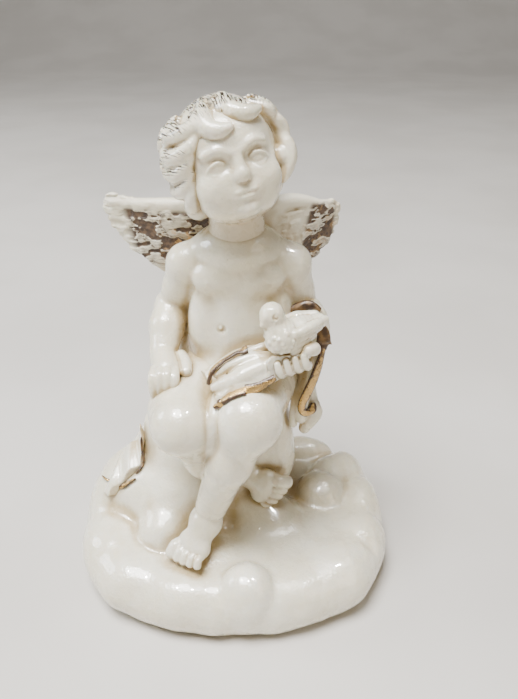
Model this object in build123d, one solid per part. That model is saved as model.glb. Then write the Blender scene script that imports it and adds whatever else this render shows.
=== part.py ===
"""A seated cherub figurine of cast resin, in millimetres.

The figure sits on a rock that stands on an oval mound. It is built up from separate castings that
are keyed and glued: mound, rock, torso, head, hair cap, arms, legs, wings, dove and drapery.
+X is the figure's left, -Y its front, +Z up, and the origin is the middle of the underside.
Every joint of the skeleton is worked out from the one below it, from the mound up to the head.
"""

from build123d import *
import os
from math import atan2, cos, degrees, radians, sin, sqrt

# ---------------------------------------------------------------- driving dimensions
BASE_WIDTH = 59.0
BASE_DEPTH = 51.0
MOUND_HEIGHT = 11.0
BULGE_HEIGHT = 4.2
FOOT_INSET = 1.7
SHOULDER_INSET = 2.4
TOP_INSET = 6.5
RIM_LUMP_COUNT = 10
RIM_LUMP_RADIUS = 7.0

FELT_THICKNESS = 1.0
FELT_RECESS = 0.6
FELT_INSET = 3.0

ANKLE_HEIGHT = 7.0
SHIN_LENGTH = 22.4
THIGH_LENGTH = 18.6
HIP_SPACING = 9.6
HIP_RADIUS = 5.6
KNEE_RADIUS = 5.0
CALF_RADIUS = 4.1
ANKLE_RADIUS = 2.9
FOOT_LENGTH = 9.4
FOOT_RADIUS = 2.6
TOE_RADIUS = 1.15

TORSO_LENGTH = 26.0
PELVIS_HALF_WIDTH = 9.4
WAIST_HALF_WIDTH = 8.3
CHEST_HALF_WIDTH = 9.0
TORSO_HALF_DEPTH = 6.6
SEAT_SINK = 4.6

SHOULDER_SPACING = 17.6
SHOULDER_DROP = 6.0
SHOULDER_RADIUS = 3.7
UPPER_ARM_LENGTH = 10.4
FOREARM_LENGTH = 9.4
ELBOW_RADIUS = 3.1
WRIST_RADIUS = 2.4
PALM_RADIUS = 2.5
FINGER_RADIUS = 0.85
FINGER_LENGTH = 3.0

NECK_RADIUS = 4.2
NECK_LENGTH = 4.4
HEAD_HALF_WIDTH = 8.0
HEAD_HALF_DEPTH = 8.6
HEAD_HALF_HEIGHT = 8.6
HEAD_ROLL = -13.0
HEAD_TURN = 16.0
HEAD_NOD = 4.0
HAIR_THICKNESS = 1.3
CURL_RADIUS = 2.0
CURL_COUNT = 12

WING_THICKNESS = 1.5
WING_SPAN_RIGHT = 15.8
WING_SPAN_LEFT = 13.8
WING_SWEEP_RIGHT = 6.0
WING_SWEEP_LEFT = 38.0
WING_TILT_RIGHT = 4.0
WING_TILT_LEFT = -8.0
WING_RISE = 3.8
FEATHER_COUNT = 6
FEATHER_WIDTH = 4.6
FEATHER_FAN = 80.0

DOVE_HEAD_RADIUS = 2.0
DOVE_BODY_LENGTH = 9.0
DOVE_BODY_RADIUS = 2.9

SEAT_HALF_WIDTH = 11.0
SEAT_HALF_DEPTH = 8.6
ROCK_FOOT_HALF_WIDTH = 19.0
ROCK_FOOT_HALF_DEPTH = 12.5

DRAPE_FOLD_RADIUS = 2.5
DRAPE_THICKNESS = 1.4
SASH_LENGTH = 21.0
SASH_HALF_WIDTH = 2.7
SASH_HALF_THICKNESS = 1.3

NECK_KEY_RADIUS = 2.2
NECK_KEY_LENGTH = 4.0
ARM_KEY_RADIUS = 1.5
ARM_KEY_LENGTH = 4.6
LEG_KEY_RADIUS = 2.2
LEG_KEY_LENGTH = 8.5
ROCK_KEY_RADIUS = 4.5
ROCK_KEY_LENGTH = 4.0
PIN_RADIUS = 0.5
WING_PIN_LENGTH = 6.0
WING_PIN_SPACING = 5.0
DOVE_PIN_LENGTH = 3.6
GLUE_GAP = 0.1

LEFT, RIGHT = 1, -1
UP = Vector(0, 0, 1)


# ---------------------------------------------------------------- shape helpers
def ball(centre, radius):
    return Pos(*centre) * Sphere(radius)


def axis_plane(start, end):
    """A plane at start whose normal points to end."""
    return Plane(origin=start, z_dir=(end - start).normalized())


def limb(start, start_radius, end, end_radius):
    """A round-ended taper between two points, with the taper tangent to both ends."""
    length = (end - start).length
    lean = (start_radius - end_radius) / length
    rise = sqrt(1 - lean * lean)
    foot = (start_radius * rise, start_radius * lean)
    tip = (end_radius * rise, length + end_radius * lean)
    half_turn_foot = start_radius * sqrt((1 - lean) / 2)
    foot_middle = (half_turn_foot, -start_radius * sqrt((1 + lean) / 2))
    half_turn_tip = end_radius * sqrt((1 + lean) / 2)
    tip_middle = (half_turn_tip, length + end_radius * sqrt((1 - lean) / 2))
    outline = Curve() + [
        ThreePointArc((0, -start_radius), foot_middle, foot),
        Line(foot, tip),
        ThreePointArc(tip, tip_middle, (0, length + end_radius)),
        Line((0, length + end_radius), (0, -start_radius)),
    ]
    body = revolve(make_face(outline), Axis.Y)
    upright = Rot(X=90) * body
    return axis_plane(start, end) * upright


def rod(start, end, radius):
    """A plain cylinder from start to end."""
    length = (end - start).length
    along = axis_plane(start, end)
    return along * Cylinder(radius, length, align=(Align.CENTER, Align.CENTER, Align.MIN))


def egg(half_x, half_y, half_z):
    """An ellipsoid about the origin."""
    return scale(Sphere(1), by=(half_x, half_y, half_z))


def oval_stack(sections):
    """A smooth body through level ovals, each (x, y, z, half width, half depth)."""
    ovals = [Plane((x, y, z)) * Ellipse(a, b) for x, y, z, a, b in sections]
    return loft(ovals)


def largest(shape):
    """The largest solid of a cut, without the crumbs."""
    return max(shape.solids(), key=lambda s: s.volume)


def carve(shape, *others):
    """shape with every other piece cut away from it."""
    for other in others:
        shape = shape - other
    return largest(shape)


def bend_between(root, tip, root_length, tip_length, towards):
    """Where a two-part limb bends, if it spans from root to tip and bends towards a direction."""
    span = (tip - root).length
    along = (tip - root).normalized()
    reach = (root_length**2 - tip_length**2 + span**2) / (2 * span)
    out = sqrt(max(root_length**2 - reach**2, 0))
    side = (towards - along * towards.dot(along)).normalized()
    return root + along * reach + side * out


# ---------------------------------------------------------------- skeleton
SHIN_LEFT_RISE = Vector(7.9, -3.0, 20.7).normalized()
THIGH_LEFT_BACK = Vector(3.0, 18.4, 0.3).normalized()

base_bottom = FELT_THICKNESS - FELT_RECESS
mound_top = base_bottom + MOUND_HEIGHT

ankle_left = Vector(-4.3, -12.6, mound_top + ANKLE_HEIGHT)
knee_left = ankle_left + SHIN_LEFT_RISE * SHIN_LENGTH
hip_left = knee_left + THIGH_LEFT_BACK * THIGH_LENGTH
hip_right = hip_left - Vector(HIP_SPACING, 0, 0)
ankle_right = Vector(1.0, -1.2, mound_top + ANKLE_HEIGHT + 2.0)
knee_right = bend_between(
    hip_right, ankle_right, THIGH_LENGTH, SHIN_LENGTH, Vector(-0.5, -1.0, 0.3)
)

pelvis = (hip_left + hip_right) * 0.5
seat_top = pelvis.Z - SEAT_SINK
collar = pelvis + Vector(-0.4, -0.2, TORSO_LENGTH)
shoulder_line = collar - UP * SHOULDER_DROP
shoulder_left = shoulder_line + Vector(SHOULDER_SPACING / 2, 0.4, 0)
shoulder_right = shoulder_line - Vector(SHOULDER_SPACING / 2, -0.4, 0)

thigh_rest = hip_right + (knee_right - hip_right) * 0.52
palm_right = thigh_rest + Vector(-3.6, 0, KNEE_RADIUS + 1.4)
wrist_right = palm_right + Vector(-0.9, 4.0, 1.4)
elbow_right = bend_between(
    shoulder_right, wrist_right, UPPER_ARM_LENGTH, FOREARM_LENGTH, Vector(-0.35, 1, -0.2)
)

belly_front = pelvis + Vector(0, -TORSO_HALF_DEPTH, TORSO_LENGTH * 0.4)
palm_left = belly_front + Vector(8.0, -5.4, -1.2)
wrist_left = palm_left + Vector(2.2, 4.6, -0.6)
elbow_left = bend_between(
    shoulder_left, wrist_left, UPPER_ARM_LENGTH, FOREARM_LENGTH, Vector(0.2, 1, -0.4)
)

head_centre = collar + Vector(-1.4, -1.6, NECK_LENGTH + HEAD_HALF_HEIGHT * 0.86)
head_frame = Pos(*head_centre) * Rot(Y=HEAD_ROLL) * Rot(Z=HEAD_TURN) * Rot(X=HEAD_NOD)


# ---------------------------------------------------------------- castings
def torso_shape():
    """Trunk from seat to collar, through one oval at each level of the body."""
    levels = [
        (-SEAT_SINK, 0.2, 1.2, PELVIS_HALF_WIDTH - 2.4, TORSO_HALF_DEPTH - 1.6),
        (0, 0, 0.4, PELVIS_HALF_WIDTH, TORSO_HALF_DEPTH),
        (TORSO_LENGTH * 0.26, 0.3, -0.8, WAIST_HALF_WIDTH + 0.3, TORSO_HALF_DEPTH),
        (TORSO_LENGTH * 0.48, 0.4, -0.8, WAIST_HALF_WIDTH, TORSO_HALF_DEPTH - 0.6),
        (TORSO_LENGTH * 0.68, 0.1, -0.3, CHEST_HALF_WIDTH, TORSO_HALF_DEPTH - 1.1),
        (TORSO_LENGTH * 0.84, 0, 0, CHEST_HALF_WIDTH - 0.4, TORSO_HALF_DEPTH - 1.7),
        (TORSO_LENGTH * 0.93, -0.1, 0, CHEST_HALF_WIDTH - 2.4, TORSO_HALF_DEPTH - 2.0),
        (TORSO_LENGTH, -0.2, -0.2, NECK_RADIUS + 0.4, NECK_RADIUS + 0.1),
    ]
    return oval_stack(
        [(pelvis.X + dx, pelvis.Y + dy, pelvis.Z + dz, a, b) for dz, dx, dy, a, b in levels]
    )


def foot_shape(ankle, heel, toes_towards, big_toe_side, spread):
    """Foot with five toes. big_toe_side points from the little toe to the big toe."""
    sole_end = heel + toes_towards * (FOOT_LENGTH - 3 * TOE_RADIUS)
    foot = limb(heel, FOOT_RADIUS + 0.1, sole_end, FOOT_RADIUS - 0.2)
    foot += limb(ankle, ANKLE_RADIUS, heel, FOOT_RADIUS + 0.2)
    for number in range(5):
        across = spread * (1 - number / 2)
        reach = FOOT_RADIUS + TOE_RADIUS * (0.1 - 0.16 * number)
        size = TOE_RADIUS * (1.25 - 0.1 * number)
        tip = sole_end + big_toe_side * across + toes_towards * reach - UP * 0.5
        foot += limb(sole_end + big_toe_side * across * 0.8, size * 1.06, tip, size)
    return foot


def leg_shape(hip, knee, ankle, foot):
    """Thigh, calf and foot."""
    thigh = limb(hip, HIP_RADIUS, knee, KNEE_RADIUS)
    calf = knee + (ankle - knee) * 0.34
    shin = limb(knee, KNEE_RADIUS * 0.97, calf, CALF_RADIUS)
    lower = limb(calf, CALF_RADIUS * 0.98, ankle, ANKLE_RADIUS)
    return thigh + shin + lower + foot


def leg_key(hip, knee, gap):
    """The tenon from the hip along the thigh. With a gap it is the socket."""
    towards = (knee - hip).normalized()
    return rod(hip - towards * gap, hip + towards * LEG_KEY_LENGTH, LEG_KEY_RADIUS + gap)


def arm_shape(shoulder, elbow, wrist, palm, finger_tips):
    """Upper arm, forearm, palm and fingers."""
    arm = limb(shoulder, SHOULDER_RADIUS, elbow, ELBOW_RADIUS)
    arm += limb(elbow, ELBOW_RADIUS * 1.03, wrist, WRIST_RADIUS)
    arm += limb(wrist, WRIST_RADIUS * 0.97, palm, PALM_RADIUS)
    for tip in finger_tips:
        knuckle = palm + (tip - palm).normalized() * PALM_RADIUS * 0.6
        arm += limb(knuckle, FINGER_RADIUS * 1.1, tip, FINGER_RADIUS)
    return arm


def fingers(palm, towards, across):
    """Tips of four fingers laid side by side."""
    reach = PALM_RADIUS + FINGER_LENGTH * 0.45
    return [palm + towards * reach + across * FINGER_RADIUS * 1.7 * (n - 1.5) for n in range(4)]


def arm_key(shoulder, side, gap):
    """The tenon from the shoulder into the chest. With a gap it is the socket."""
    inner = shoulder - Vector(side * (ARM_KEY_LENGTH + gap), 0, 0)
    return rod(shoulder, inner, ARM_KEY_RADIUS + gap)


def neck_key(gap):
    """The tenon below the neck. With a gap it is the socket in the chest."""
    top = collar + UP * 0.5
    return rod(top, collar - UP * (NECK_KEY_LENGTH + gap), NECK_KEY_RADIUS + gap)


def head_shape():
    """Skull, cheeks, chin, nose, ears and neck."""
    whole = egg(HEAD_HALF_WIDTH, HEAD_HALF_DEPTH, HEAD_HALF_HEIGHT)
    whole += Pos(0, -2.4, -3.4) * egg(HEAD_HALF_WIDTH * 0.87, HEAD_HALF_DEPTH * 0.74, 5.4)
    whole += ball((0, -HEAD_HALF_DEPTH * 0.72, -HEAD_HALF_HEIGHT * 0.8), 2.0)
    whole += ball((0, -HEAD_HALF_DEPTH + 0.3, -1.9), 1.2)
    for side in (LEFT, RIGHT):
        whole += ball((side * 3.9, -HEAD_HALF_DEPTH * 0.62, -3.0), 3.0)
        whole += ball((side * HEAD_HALF_WIDTH * 0.97, 0.6, -1.6), 1.6)
    neck_top = head_centre - UP * HEAD_HALF_HEIGHT * 0.45
    neck = rod(collar, neck_top, NECK_RADIUS)
    return head_frame * whole + neck


def hair_shape():
    """The cap of hair behind the hairline, with a ring of curls along it."""
    cap = egg(
        HEAD_HALF_WIDTH + HAIR_THICKNESS,
        HEAD_HALF_DEPTH + HAIR_THICKNESS,
        HEAD_HALF_HEIGHT + HAIR_THICKNESS,
    )
    brow = Pos(0, -HEAD_HALF_DEPTH - 1.0, -4.4) * egg(7.2, 8.0, 9.0)
    nape = Pos(0, -2.0, -HEAD_HALF_HEIGHT - 2.6) * Box(30, 30, 7.0)
    cap = cap - brow - nape
    curls = []
    for number in range(CURL_COUNT):
        turn = radians(-152 + 304 * number / (CURL_COUNT - 1))
        x = (HEAD_HALF_WIDTH + 0.1) * sin(turn)
        y = -(HEAD_HALF_DEPTH - 0.4) * cos(turn)
        z = 0.3 + 5.1 * cos(turn) + 0.4 * (number % 2)
        seam_inwards = Rot(Z=degrees(atan2(-y, -x)))
        curl = Sphere(CURL_RADIUS + 0.23 * (number % 3))
        curls.append(Pos(x, y, z) * seam_inwards * curl)
    return head_frame * cap.fuse(*curls)


def wing_frame(side):
    """The wing's own plane: X outwards to the tip, Y up, at the root on the figure's back."""
    sweep = radians(WING_SWEEP_LEFT if side == LEFT else WING_SWEEP_RIGHT)
    outward = Vector(side * cos(sweep), sin(sweep), 0)
    root = shoulder_line + Vector(side * 3.4, TORSO_HALF_DEPTH - 1.4, 2.2)
    return Plane(origin=root, x_dir=outward, z_dir=outward.cross(UP))


def wing_shape(side):
    """A fan of feathers from the wing's bend, under a rounded leading edge."""
    span = WING_SPAN_LEFT if side == LEFT else WING_SPAN_RIGHT
    tilt = WING_TILT_LEFT if side == LEFT else WING_TILT_RIGHT
    bend = Vector(3.4, WING_RISE, 0)
    outline = SlotCenterToCenter(WING_RISE * 2.2, 8.4)
    outline = Pos(1.4, 0.4) * Rot(Z=78) * outline
    for number in range(FEATHER_COUNT):
        share = number / (FEATHER_COUNT - 1)
        length = span * (1 - 0.4 * share)
        feather = SlotCenterToCenter(length, FEATHER_WIDTH * (1 - 0.1 * share))
        fan = Rot(Z=tilt - FEATHER_FAN * share)
        outline += Pos(bend.X, bend.Y) * fan * Pos(length / 2 - 1.0, 0) * feather
    blade = extrude(outline, WING_THICKNESS / 2, both=True)
    lean = radians(tilt)
    edge_end = bend + Vector(cos(lean), sin(lean), 0) * span * 0.8 + Vector(0, 1.3, 0)
    edge = limb(Vector(1.0, WING_RISE + 1.2, 0), 1.9, edge_end, 0.9)
    return wing_frame(side) * (blade + edge + ball((0, 0, 0), 2.6))


def wing_pin_lines(side):
    """Start and end of each wire pin that holds a wing."""
    root = wing_frame(side).origin
    lines = []
    for level in (-0.5, 0.5):
        middle = root + Vector(0, 0, WING_PIN_SPACING * level)
        half = Vector(0, WING_PIN_LENGTH / 2, 0)
        lines.append((middle - half - Vector(0, 1, 0), middle + half - Vector(0, 1, 0)))
    return lines


def wing_pins(gap):
    """All four wing pins. With a gap they are the drillings."""
    return [
        rod(a - Vector(0, gap, 0), b + Vector(0, gap, 0), PIN_RADIUS + gap)
        for side in (LEFT, RIGHT)
        for a, b in wing_pin_lines(side)
    ]


dove_head = palm_left + Vector(-3.4, -0.8, 7.4)
dove_breast = palm_left + Vector(-1.4, -0.4, 4.2)
dove_along = Vector(7.1, 4.7, 1.4).normalized()


def dove_shape():
    """Round head with a beak, plump body, two folded wings and a tail."""
    tail = dove_breast + dove_along * (DOVE_BODY_LENGTH * 1.15)
    body_end = dove_breast + dove_along * (DOVE_BODY_LENGTH * 0.6)
    dove = ball(dove_head, DOVE_HEAD_RADIUS)
    dove += limb(dove_breast, DOVE_BODY_RADIUS, body_end, DOVE_BODY_RADIUS * 0.7)
    dove += limb(body_end, DOVE_BODY_RADIUS * 0.68, tail, 0.7)
    beak = dove_head + Vector(-DOVE_HEAD_RADIUS - 0.3, -0.7, -0.2)
    dove += limb(dove_head - Vector(1.0, 0, 0), 0.8, beak, 0.3)
    for side in (-1, 1):
        wing_root = dove_breast + Vector(1.0, side * DOVE_BODY_RADIUS * 0.6, 0.9)
        wing_tip = tail + Vector(-0.5, side * 1.1, 1.0)
        dove += limb(wing_root, 1.9, wing_tip, 0.8)
    return dove


def dove_pin(gap):
    """The wire pin from the palm up into the dove. With a gap it is the drilling."""
    foot = palm_left + Vector(-0.6, 0.2, 0.4)
    top = foot + UP * DOVE_PIN_LENGTH
    return rod(foot - UP * gap, top + UP * gap, PIN_RADIUS + gap)


def lap_drape_shape():
    """Three soft rolls of cloth across the lap, between the belly and the thighs."""
    near_right = hip_right + (knee_right - hip_right) * 0.58
    near_left = hip_left + (knee_left - hip_left) * 0.42
    rolls = [
        ((3.6, -0.8, 2.6), (1.6, -0.6, 5.4), 0.0),
        ((3.4, 3.2, 3.6), (-0.4, 2.2, 6.6), -0.2),
        ((6.2, -1.6, 1.2), (3.6, -2.4, 3.6), -0.4),
    ]
    drape = None
    for start, end, swell in rolls:
        a = near_right + Vector(*start)
        b = near_left + Vector(*end)
        roll = limb(a, DRAPE_FOLD_RADIUS + swell - 0.3, b, DRAPE_FOLD_RADIUS + swell)
        drape = roll if drape is None else drape + roll
    return drape


def sash_shape():
    """The cloth over the left forearm and its tail, which hangs beside the thigh."""
    over = elbow_left + (wrist_left - elbow_left) * 0.4
    back, front = over + Vector(0, 1.4, 0.2), over + Vector(0.2, -1.6, -0.4)
    wrap = limb(back, ELBOW_RADIUS + 0.9, front, ELBOW_RADIUS + 0.7)
    start = over + Vector(1.2, -0.6, -1.0)
    folds = [
        (0, 0, 0, 0, 0.6),
        (0.3, 0.1, -0.6, 0, 0),
        (0.62, -1.0, -1.6, 0.4, 0.3),
        (0.9, -2.0, -1.6, 0.1, 0.2),
        (1.0, -2.4, -1.4, -1.4, -0.5),
    ]
    tail = oval_stack(
        [
            (
                start.X + dx,
                start.Y + dy,
                start.Z - SASH_LENGTH * drop,
                SASH_HALF_WIDTH + wider,
                SASH_HALF_THICKNESS + thicker,
            )
            for drop, dx, dy, wider, thicker in folds
        ]
    )
    return wrap + tail


def rock_shape(growth=0.0):
    """The seat: a lumpy stump that widens towards the figure's right as it meets the mound."""
    x, y = pelvis.X, pelvis.Y + 1.0
    rise = seat_top - mound_top
    wide, deep = ROCK_FOOT_HALF_WIDTH + growth, ROCK_FOOT_HALF_DEPTH + growth
    seat_wide, seat_deep = SEAT_HALF_WIDTH + growth, SEAT_HALF_DEPTH + growth
    stump = oval_stack(
        [
            (x - 8.6, y + 0.4, mound_top - 1.0, wide, deep),
            (x - 7.6, y + 0.2, mound_top + rise * 0.35, wide - 3.0, deep - 2.2),
            (x - 4.0, y, mound_top + rise * 0.76, seat_wide + 1.6, seat_deep + 0.4),
            (x - 0.6, y, seat_top + 2.0, seat_wide - 1.6, seat_deep - 1.2),
        ]
    )
    for turn, height, size in ROCK_LUMPS:
        reach = wide - 4.4 - 6.0 * height
        depth = deep - 3.6 - 4.0 * height
        across = x - 8 + 5 * height + reach * cos(radians(turn))
        along = y + depth * sin(radians(turn))
        stump += ball((across, along, mound_top + rise * height), size + growth)
    below = Pos(x, y, mound_top - 20) * Box(120, 120, 40)
    return stump - below


def rock_key(gap):
    """The stub under the rock. With a gap it is the socket in the mound."""
    top = Vector(pelvis.X - 5.0, pelvis.Y + 1.0, mound_top + 0.5)
    bottom = top - UP * (ROCK_KEY_LENGTH + 0.5 + gap)
    return rod(top, bottom, ROCK_KEY_RADIUS + gap)


def drape_end_shape():
    """The end of the cloth: a layer on the rock's right flank that widens downwards."""
    top = seat_top - 9.0
    low = mound_top + 2.8
    middle = pelvis.X - SEAT_HALF_WIDTH - 9.0
    outline = Polygon(
        (middle - 6.6, low + 0.6),
        (middle + 4.4, low),
        (middle + 2.8, top),
        (middle + 0.6, top + 1.4),
        align=None,
    )
    front = Plane(origin=(0, pelvis.Y + 3.0, 0), x_dir=(1, 0, 0), z_dir=(0, -1, 0))
    panel = extrude(front * outline, 40)
    return rock_shape(DRAPE_THICKNESS) & panel


def mound_shape():
    """The oval mound with rounded lumps on its top and round its rim."""
    half_w, half_d = BASE_WIDTH / 2, BASE_DEPTH / 2
    levels = [
        (base_bottom, FOOT_INSET),
        (base_bottom + BULGE_HEIGHT, 0),
        (mound_top - 2.6, SHOULDER_INSET),
        (mound_top, TOP_INSET),
    ]
    mound = oval_stack([(0, 0, z, half_w - inset, half_d - inset) for z, inset in levels])
    lumps = []
    for number in range(RIM_LUMP_COUNT):
        turn = radians(360 * (number + 0.2) / RIM_LUMP_COUNT)
        size = RIM_LUMP_RADIUS + 0.8 * (number % 3 - 1)
        x = (half_w - size - 0.3) * cos(turn)
        y = (half_d - size - 0.3) * sin(turn)
        lumps.append(ball((x, y, mound_top - size + 0.7 * (number % 2) + 0.5), size))
    lumps.append(ball((half_w - 13.4, 0, mound_top - 2.4), 5.6))
    lumps.append(ball((3.2, 4.6 - half_d, mound_top - 4.2), 4.4))
    for toes in (foot_left_tip, foot_right_tip):
        lumps.append(ball((toes.X, toes.Y, toes.Z - 6.6), 5.0))
    below = Pos(0, 0, base_bottom - 20) * Box(200, 200, 40)
    return mound.fuse(*lumps) - below


def felt_shape(gap):
    """The felt sheet. With a gap it is the recess under the mound."""
    half_w, half_d = BASE_WIDTH / 2 - FELT_INSET, BASE_DEPTH / 2 - FELT_INSET
    sheet = Ellipse(half_w - FOOT_INSET + gap, half_d - FOOT_INSET + gap)
    return extrude(sheet, FELT_THICKNESS)


# ---------------------------------------------------------------- feet, hands and where they rest
ROCK_LUMPS = (
    (200, 0.3, 4.6),
    (160, 0.6, 4.2),
    (235, 0.12, 4.4),
    (70, 0.4, 5.0),
    (110, 0.7, 4.0),
    (20, 0.35, 4.4),
)
TOES_LEFT = Vector(-3.4, -4.4, -1.2).normalized()
TOES_RIGHT = Vector(6.2, -4.0, -3.0).normalized()
heel_left = ankle_left + Vector(0.2, 0.6, FOOT_RADIUS - ANKLE_HEIGHT + 1.0)
heel_right = ankle_right + Vector(0.6, 1.2, -2.4)
foot_left_tip = heel_left + TOES_LEFT * FOOT_LENGTH * 0.8
foot_right_tip = heel_right + TOES_RIGHT * FOOT_LENGTH * 0.8

# ---------------------------------------------------------------- fitting the castings together
foot_left = foot_shape(
    ankle_left, heel_left, TOES_LEFT, Vector(-5.6, 4.0, 0.2).normalized(), 2.3
)
foot_right = foot_shape(
    ankle_right, heel_right, TOES_RIGHT, Vector(5.0, 2.7, 4.1).normalized(), 2.2
)
leg_left_full = leg_shape(hip_left, knee_left, ankle_left, foot_left)
leg_right_full = leg_shape(hip_right, knee_right, ankle_right, foot_right)
arm_right_full = arm_shape(
    shoulder_right,
    elbow_right,
    wrist_right,
    palm_right,
    fingers(palm_right, Vector(0.12, -1, -0.36).normalized(), Vector(1, 0.1, 0.1).normalized()),
)
arm_left_full = arm_shape(
    shoulder_left,
    elbow_left,
    wrist_left,
    palm_left,
    fingers(palm_left, Vector(-0.8, -0.6, 0.0).normalized(), Vector(0.3, -0.3, 1).normalized()),
)
torso_full = torso_shape()
head_full = head_shape()

torso = torso_full - neck_key(GLUE_GAP)
for side, shoulder in ((LEFT, shoulder_left), (RIGHT, shoulder_right)):
    torso = torso - arm_key(shoulder, side, GLUE_GAP)
for hip, knee in ((hip_left, knee_left), (hip_right, knee_right)):
    torso = torso - leg_key(hip, knee, GLUE_GAP)
torso = carve(torso, *wing_pins(GLUE_GAP))

head = largest(carve(head_full, torso_full) + neck_key(0))
hair_cap = carve(hair_shape(), head_full, torso_full)

leg_left = largest(carve(leg_left_full, torso_full) + leg_key(hip_left, knee_left, 0))
leg_right = largest(
    carve(leg_right_full, torso_full, leg_left_full) + leg_key(hip_right, knee_right, 0)
)
arm_right = largest(
    carve(arm_right_full, torso_full, leg_right_full) + arm_key(shoulder_right, RIGHT, 0)
)
arm_left = largest(
    carve(arm_left_full, torso_full, leg_left_full) + arm_key(shoulder_left, LEFT, 0)
)
arm_left = carve(arm_left, dove_pin(GLUE_GAP))
dove = carve(dove_shape(), arm_left_full, torso_full, dove_pin(GLUE_GAP))

limbs = (torso_full, leg_left_full, leg_right_full, arm_left_full, arm_right_full)
lap_drape = carve(lap_drape_shape(), *limbs, dove)
seat_rock_full = rock_shape()
seat_rock = carve(seat_rock_full, torso_full, leg_left_full, leg_right_full)
sash_tail = carve(sash_shape(), *limbs, dove, lap_drape, seat_rock_full)
drape_end = carve(drape_end_shape(), seat_rock_full, *limbs)
seat_rock = largest(seat_rock + rock_key(0))

behind = (torso_full, head_full, hair_cap, arm_left_full, arm_right_full)
wings = {
    side: carve(wing_shape(side), *behind, *wing_pins(GLUE_GAP)) for side in (LEFT, RIGHT)
}
on_mound = (seat_rock_full, leg_left_full, leg_right_full, drape_end, sash_tail)
base_mound = carve(mound_shape(), *on_mound, rock_key(GLUE_GAP), felt_shape(GLUE_GAP))

pieces = {
    "base_mound": base_mound,
    "felt_pad": felt_shape(0),
    "seat_rock": seat_rock,
    "torso": torso,
    "head": head,
    "hair_cap": hair_cap,
    "arm_left": arm_left,
    "arm_right": arm_right,
    "leg_left": leg_left,
    "leg_right": leg_right,
    "wing_left": wings[LEFT],
    "wing_right": wings[RIGHT],
    "wing_pins": Compound(wing_pins(0)),
    "dove": dove,
    "dove_pin": dove_pin(0),
    "lap_drape": lap_drape,
    "sash_tail": sash_tail,
    "drape_end": drape_end,
}

os.makedirs("parts", exist_ok=True)
for name, piece in pieces.items():
    export_step(piece, f"parts/{name}.step")
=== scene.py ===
"""The looks of a seated cherub figurine of cast resin, sculpted as signed distances on grids.

Lengths inside the sculpting code are millimetres in the row frame: +X is the figure's left,
-Y its front and +Z up. Landmarks are shares of the CAD pieces' boxes. Flesh, hair, feathers and
rock are placed about them, the lumps of the rim and the folds on the lap in the row frame itself.
"""

from math import cos, pi, radians, sin

import bpy
import numpy as np
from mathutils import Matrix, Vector


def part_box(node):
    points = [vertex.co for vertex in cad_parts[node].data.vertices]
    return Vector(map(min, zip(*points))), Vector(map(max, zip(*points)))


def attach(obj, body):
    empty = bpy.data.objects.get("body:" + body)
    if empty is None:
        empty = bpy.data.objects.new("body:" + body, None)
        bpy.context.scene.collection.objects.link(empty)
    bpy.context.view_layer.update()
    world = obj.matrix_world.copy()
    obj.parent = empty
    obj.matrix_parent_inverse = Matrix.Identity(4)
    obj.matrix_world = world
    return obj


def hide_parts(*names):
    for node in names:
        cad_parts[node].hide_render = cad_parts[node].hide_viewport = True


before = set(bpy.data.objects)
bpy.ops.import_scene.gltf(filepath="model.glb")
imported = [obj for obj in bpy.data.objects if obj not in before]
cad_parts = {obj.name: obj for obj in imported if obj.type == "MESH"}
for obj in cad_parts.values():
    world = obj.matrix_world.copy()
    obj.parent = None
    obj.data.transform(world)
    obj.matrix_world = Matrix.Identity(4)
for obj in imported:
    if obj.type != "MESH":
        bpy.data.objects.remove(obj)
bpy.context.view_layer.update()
MM = 0.001
BOX = {name: [np.array(c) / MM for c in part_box(name)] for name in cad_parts}
FAR = 50.0

# distance between the grid points of each piece, mm
MOUND_GRID = 0.4
LIMB_GRID = 0.25
HEAD_GRID = 0.18
HAIR_GRID = 0.2
WING_GRID = 0.2
DOVE_GRID = 0.15
CLOTH_GRID = 0.2
CLOTH_END_GRID = 0.22


# ------------------------------------------------------------------ clay: distances on a grid
def vec(*numbers):
    return np.array(numbers, float)


def unit(v):
    return v / np.linalg.norm(v)


def at(node, x, y, z):
    """The point at these shares of a CAD piece's box, from its low corner to its high one."""
    low, high = BOX[node]
    return low + (high - low) * vec(x, y, z)


def rise(value, width):
    """From 0 to 1 while a value goes from 0 to width."""
    return np.clip(value / width, 0, 1)


def moved(origin, rows):
    """Rows of (x, y, z, radius) that are given about an origin."""
    return [(*(origin + vec(*row[:3])), row[3]) for row in rows]


def ball(centre, radius):
    return blob(centre, (radius, radius, radius))


def blob(centre, radii, axes=None):
    """An ellipsoid. The columns of axes are its own directions."""
    c, r = np.array(centre, float), np.array(radii, float)
    m = np.eye(3) if axes is None else axes
    reach = np.sqrt(((m * r) ** 2).sum(1))

    def distance(x, y, z):
        dx, dy, dz = x - c[0], y - c[1], z - c[2]
        q = [m[0, i] * dx + m[1, i] * dy + m[2, i] * dz for i in range(3)]
        k0 = np.sqrt(sum((q[i] / r[i]) ** 2 for i in range(3)))
        k1 = np.sqrt(sum((q[i] / r[i] ** 2) ** 2 for i in range(3))) + 1e-6
        return k0 * (k0 - 1) / k1

    return c - reach, c + reach, distance


def cone(a, b, radius_a, radius_b):
    """A taper with round ends."""
    a, b = np.array(a, float), np.array(b, float)
    d = b - a
    square = max(float(d @ d), 1e-9)
    low = np.minimum(a - radius_a, b - radius_b)
    high = np.maximum(a + radius_a, b + radius_b)

    def distance(x, y, z):
        px, py, pz = x - a[0], y - a[1], z - a[2]
        t = rise(px * d[0] + py * d[1] + pz * d[2], square)
        gap = (px - t * d[0]) ** 2 + (py - t * d[1]) ** 2 + (pz - t * d[2]) ** 2
        return np.sqrt(gap) - (radius_a + (radius_b - radius_a) * t)

    return low, high, distance


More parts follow.
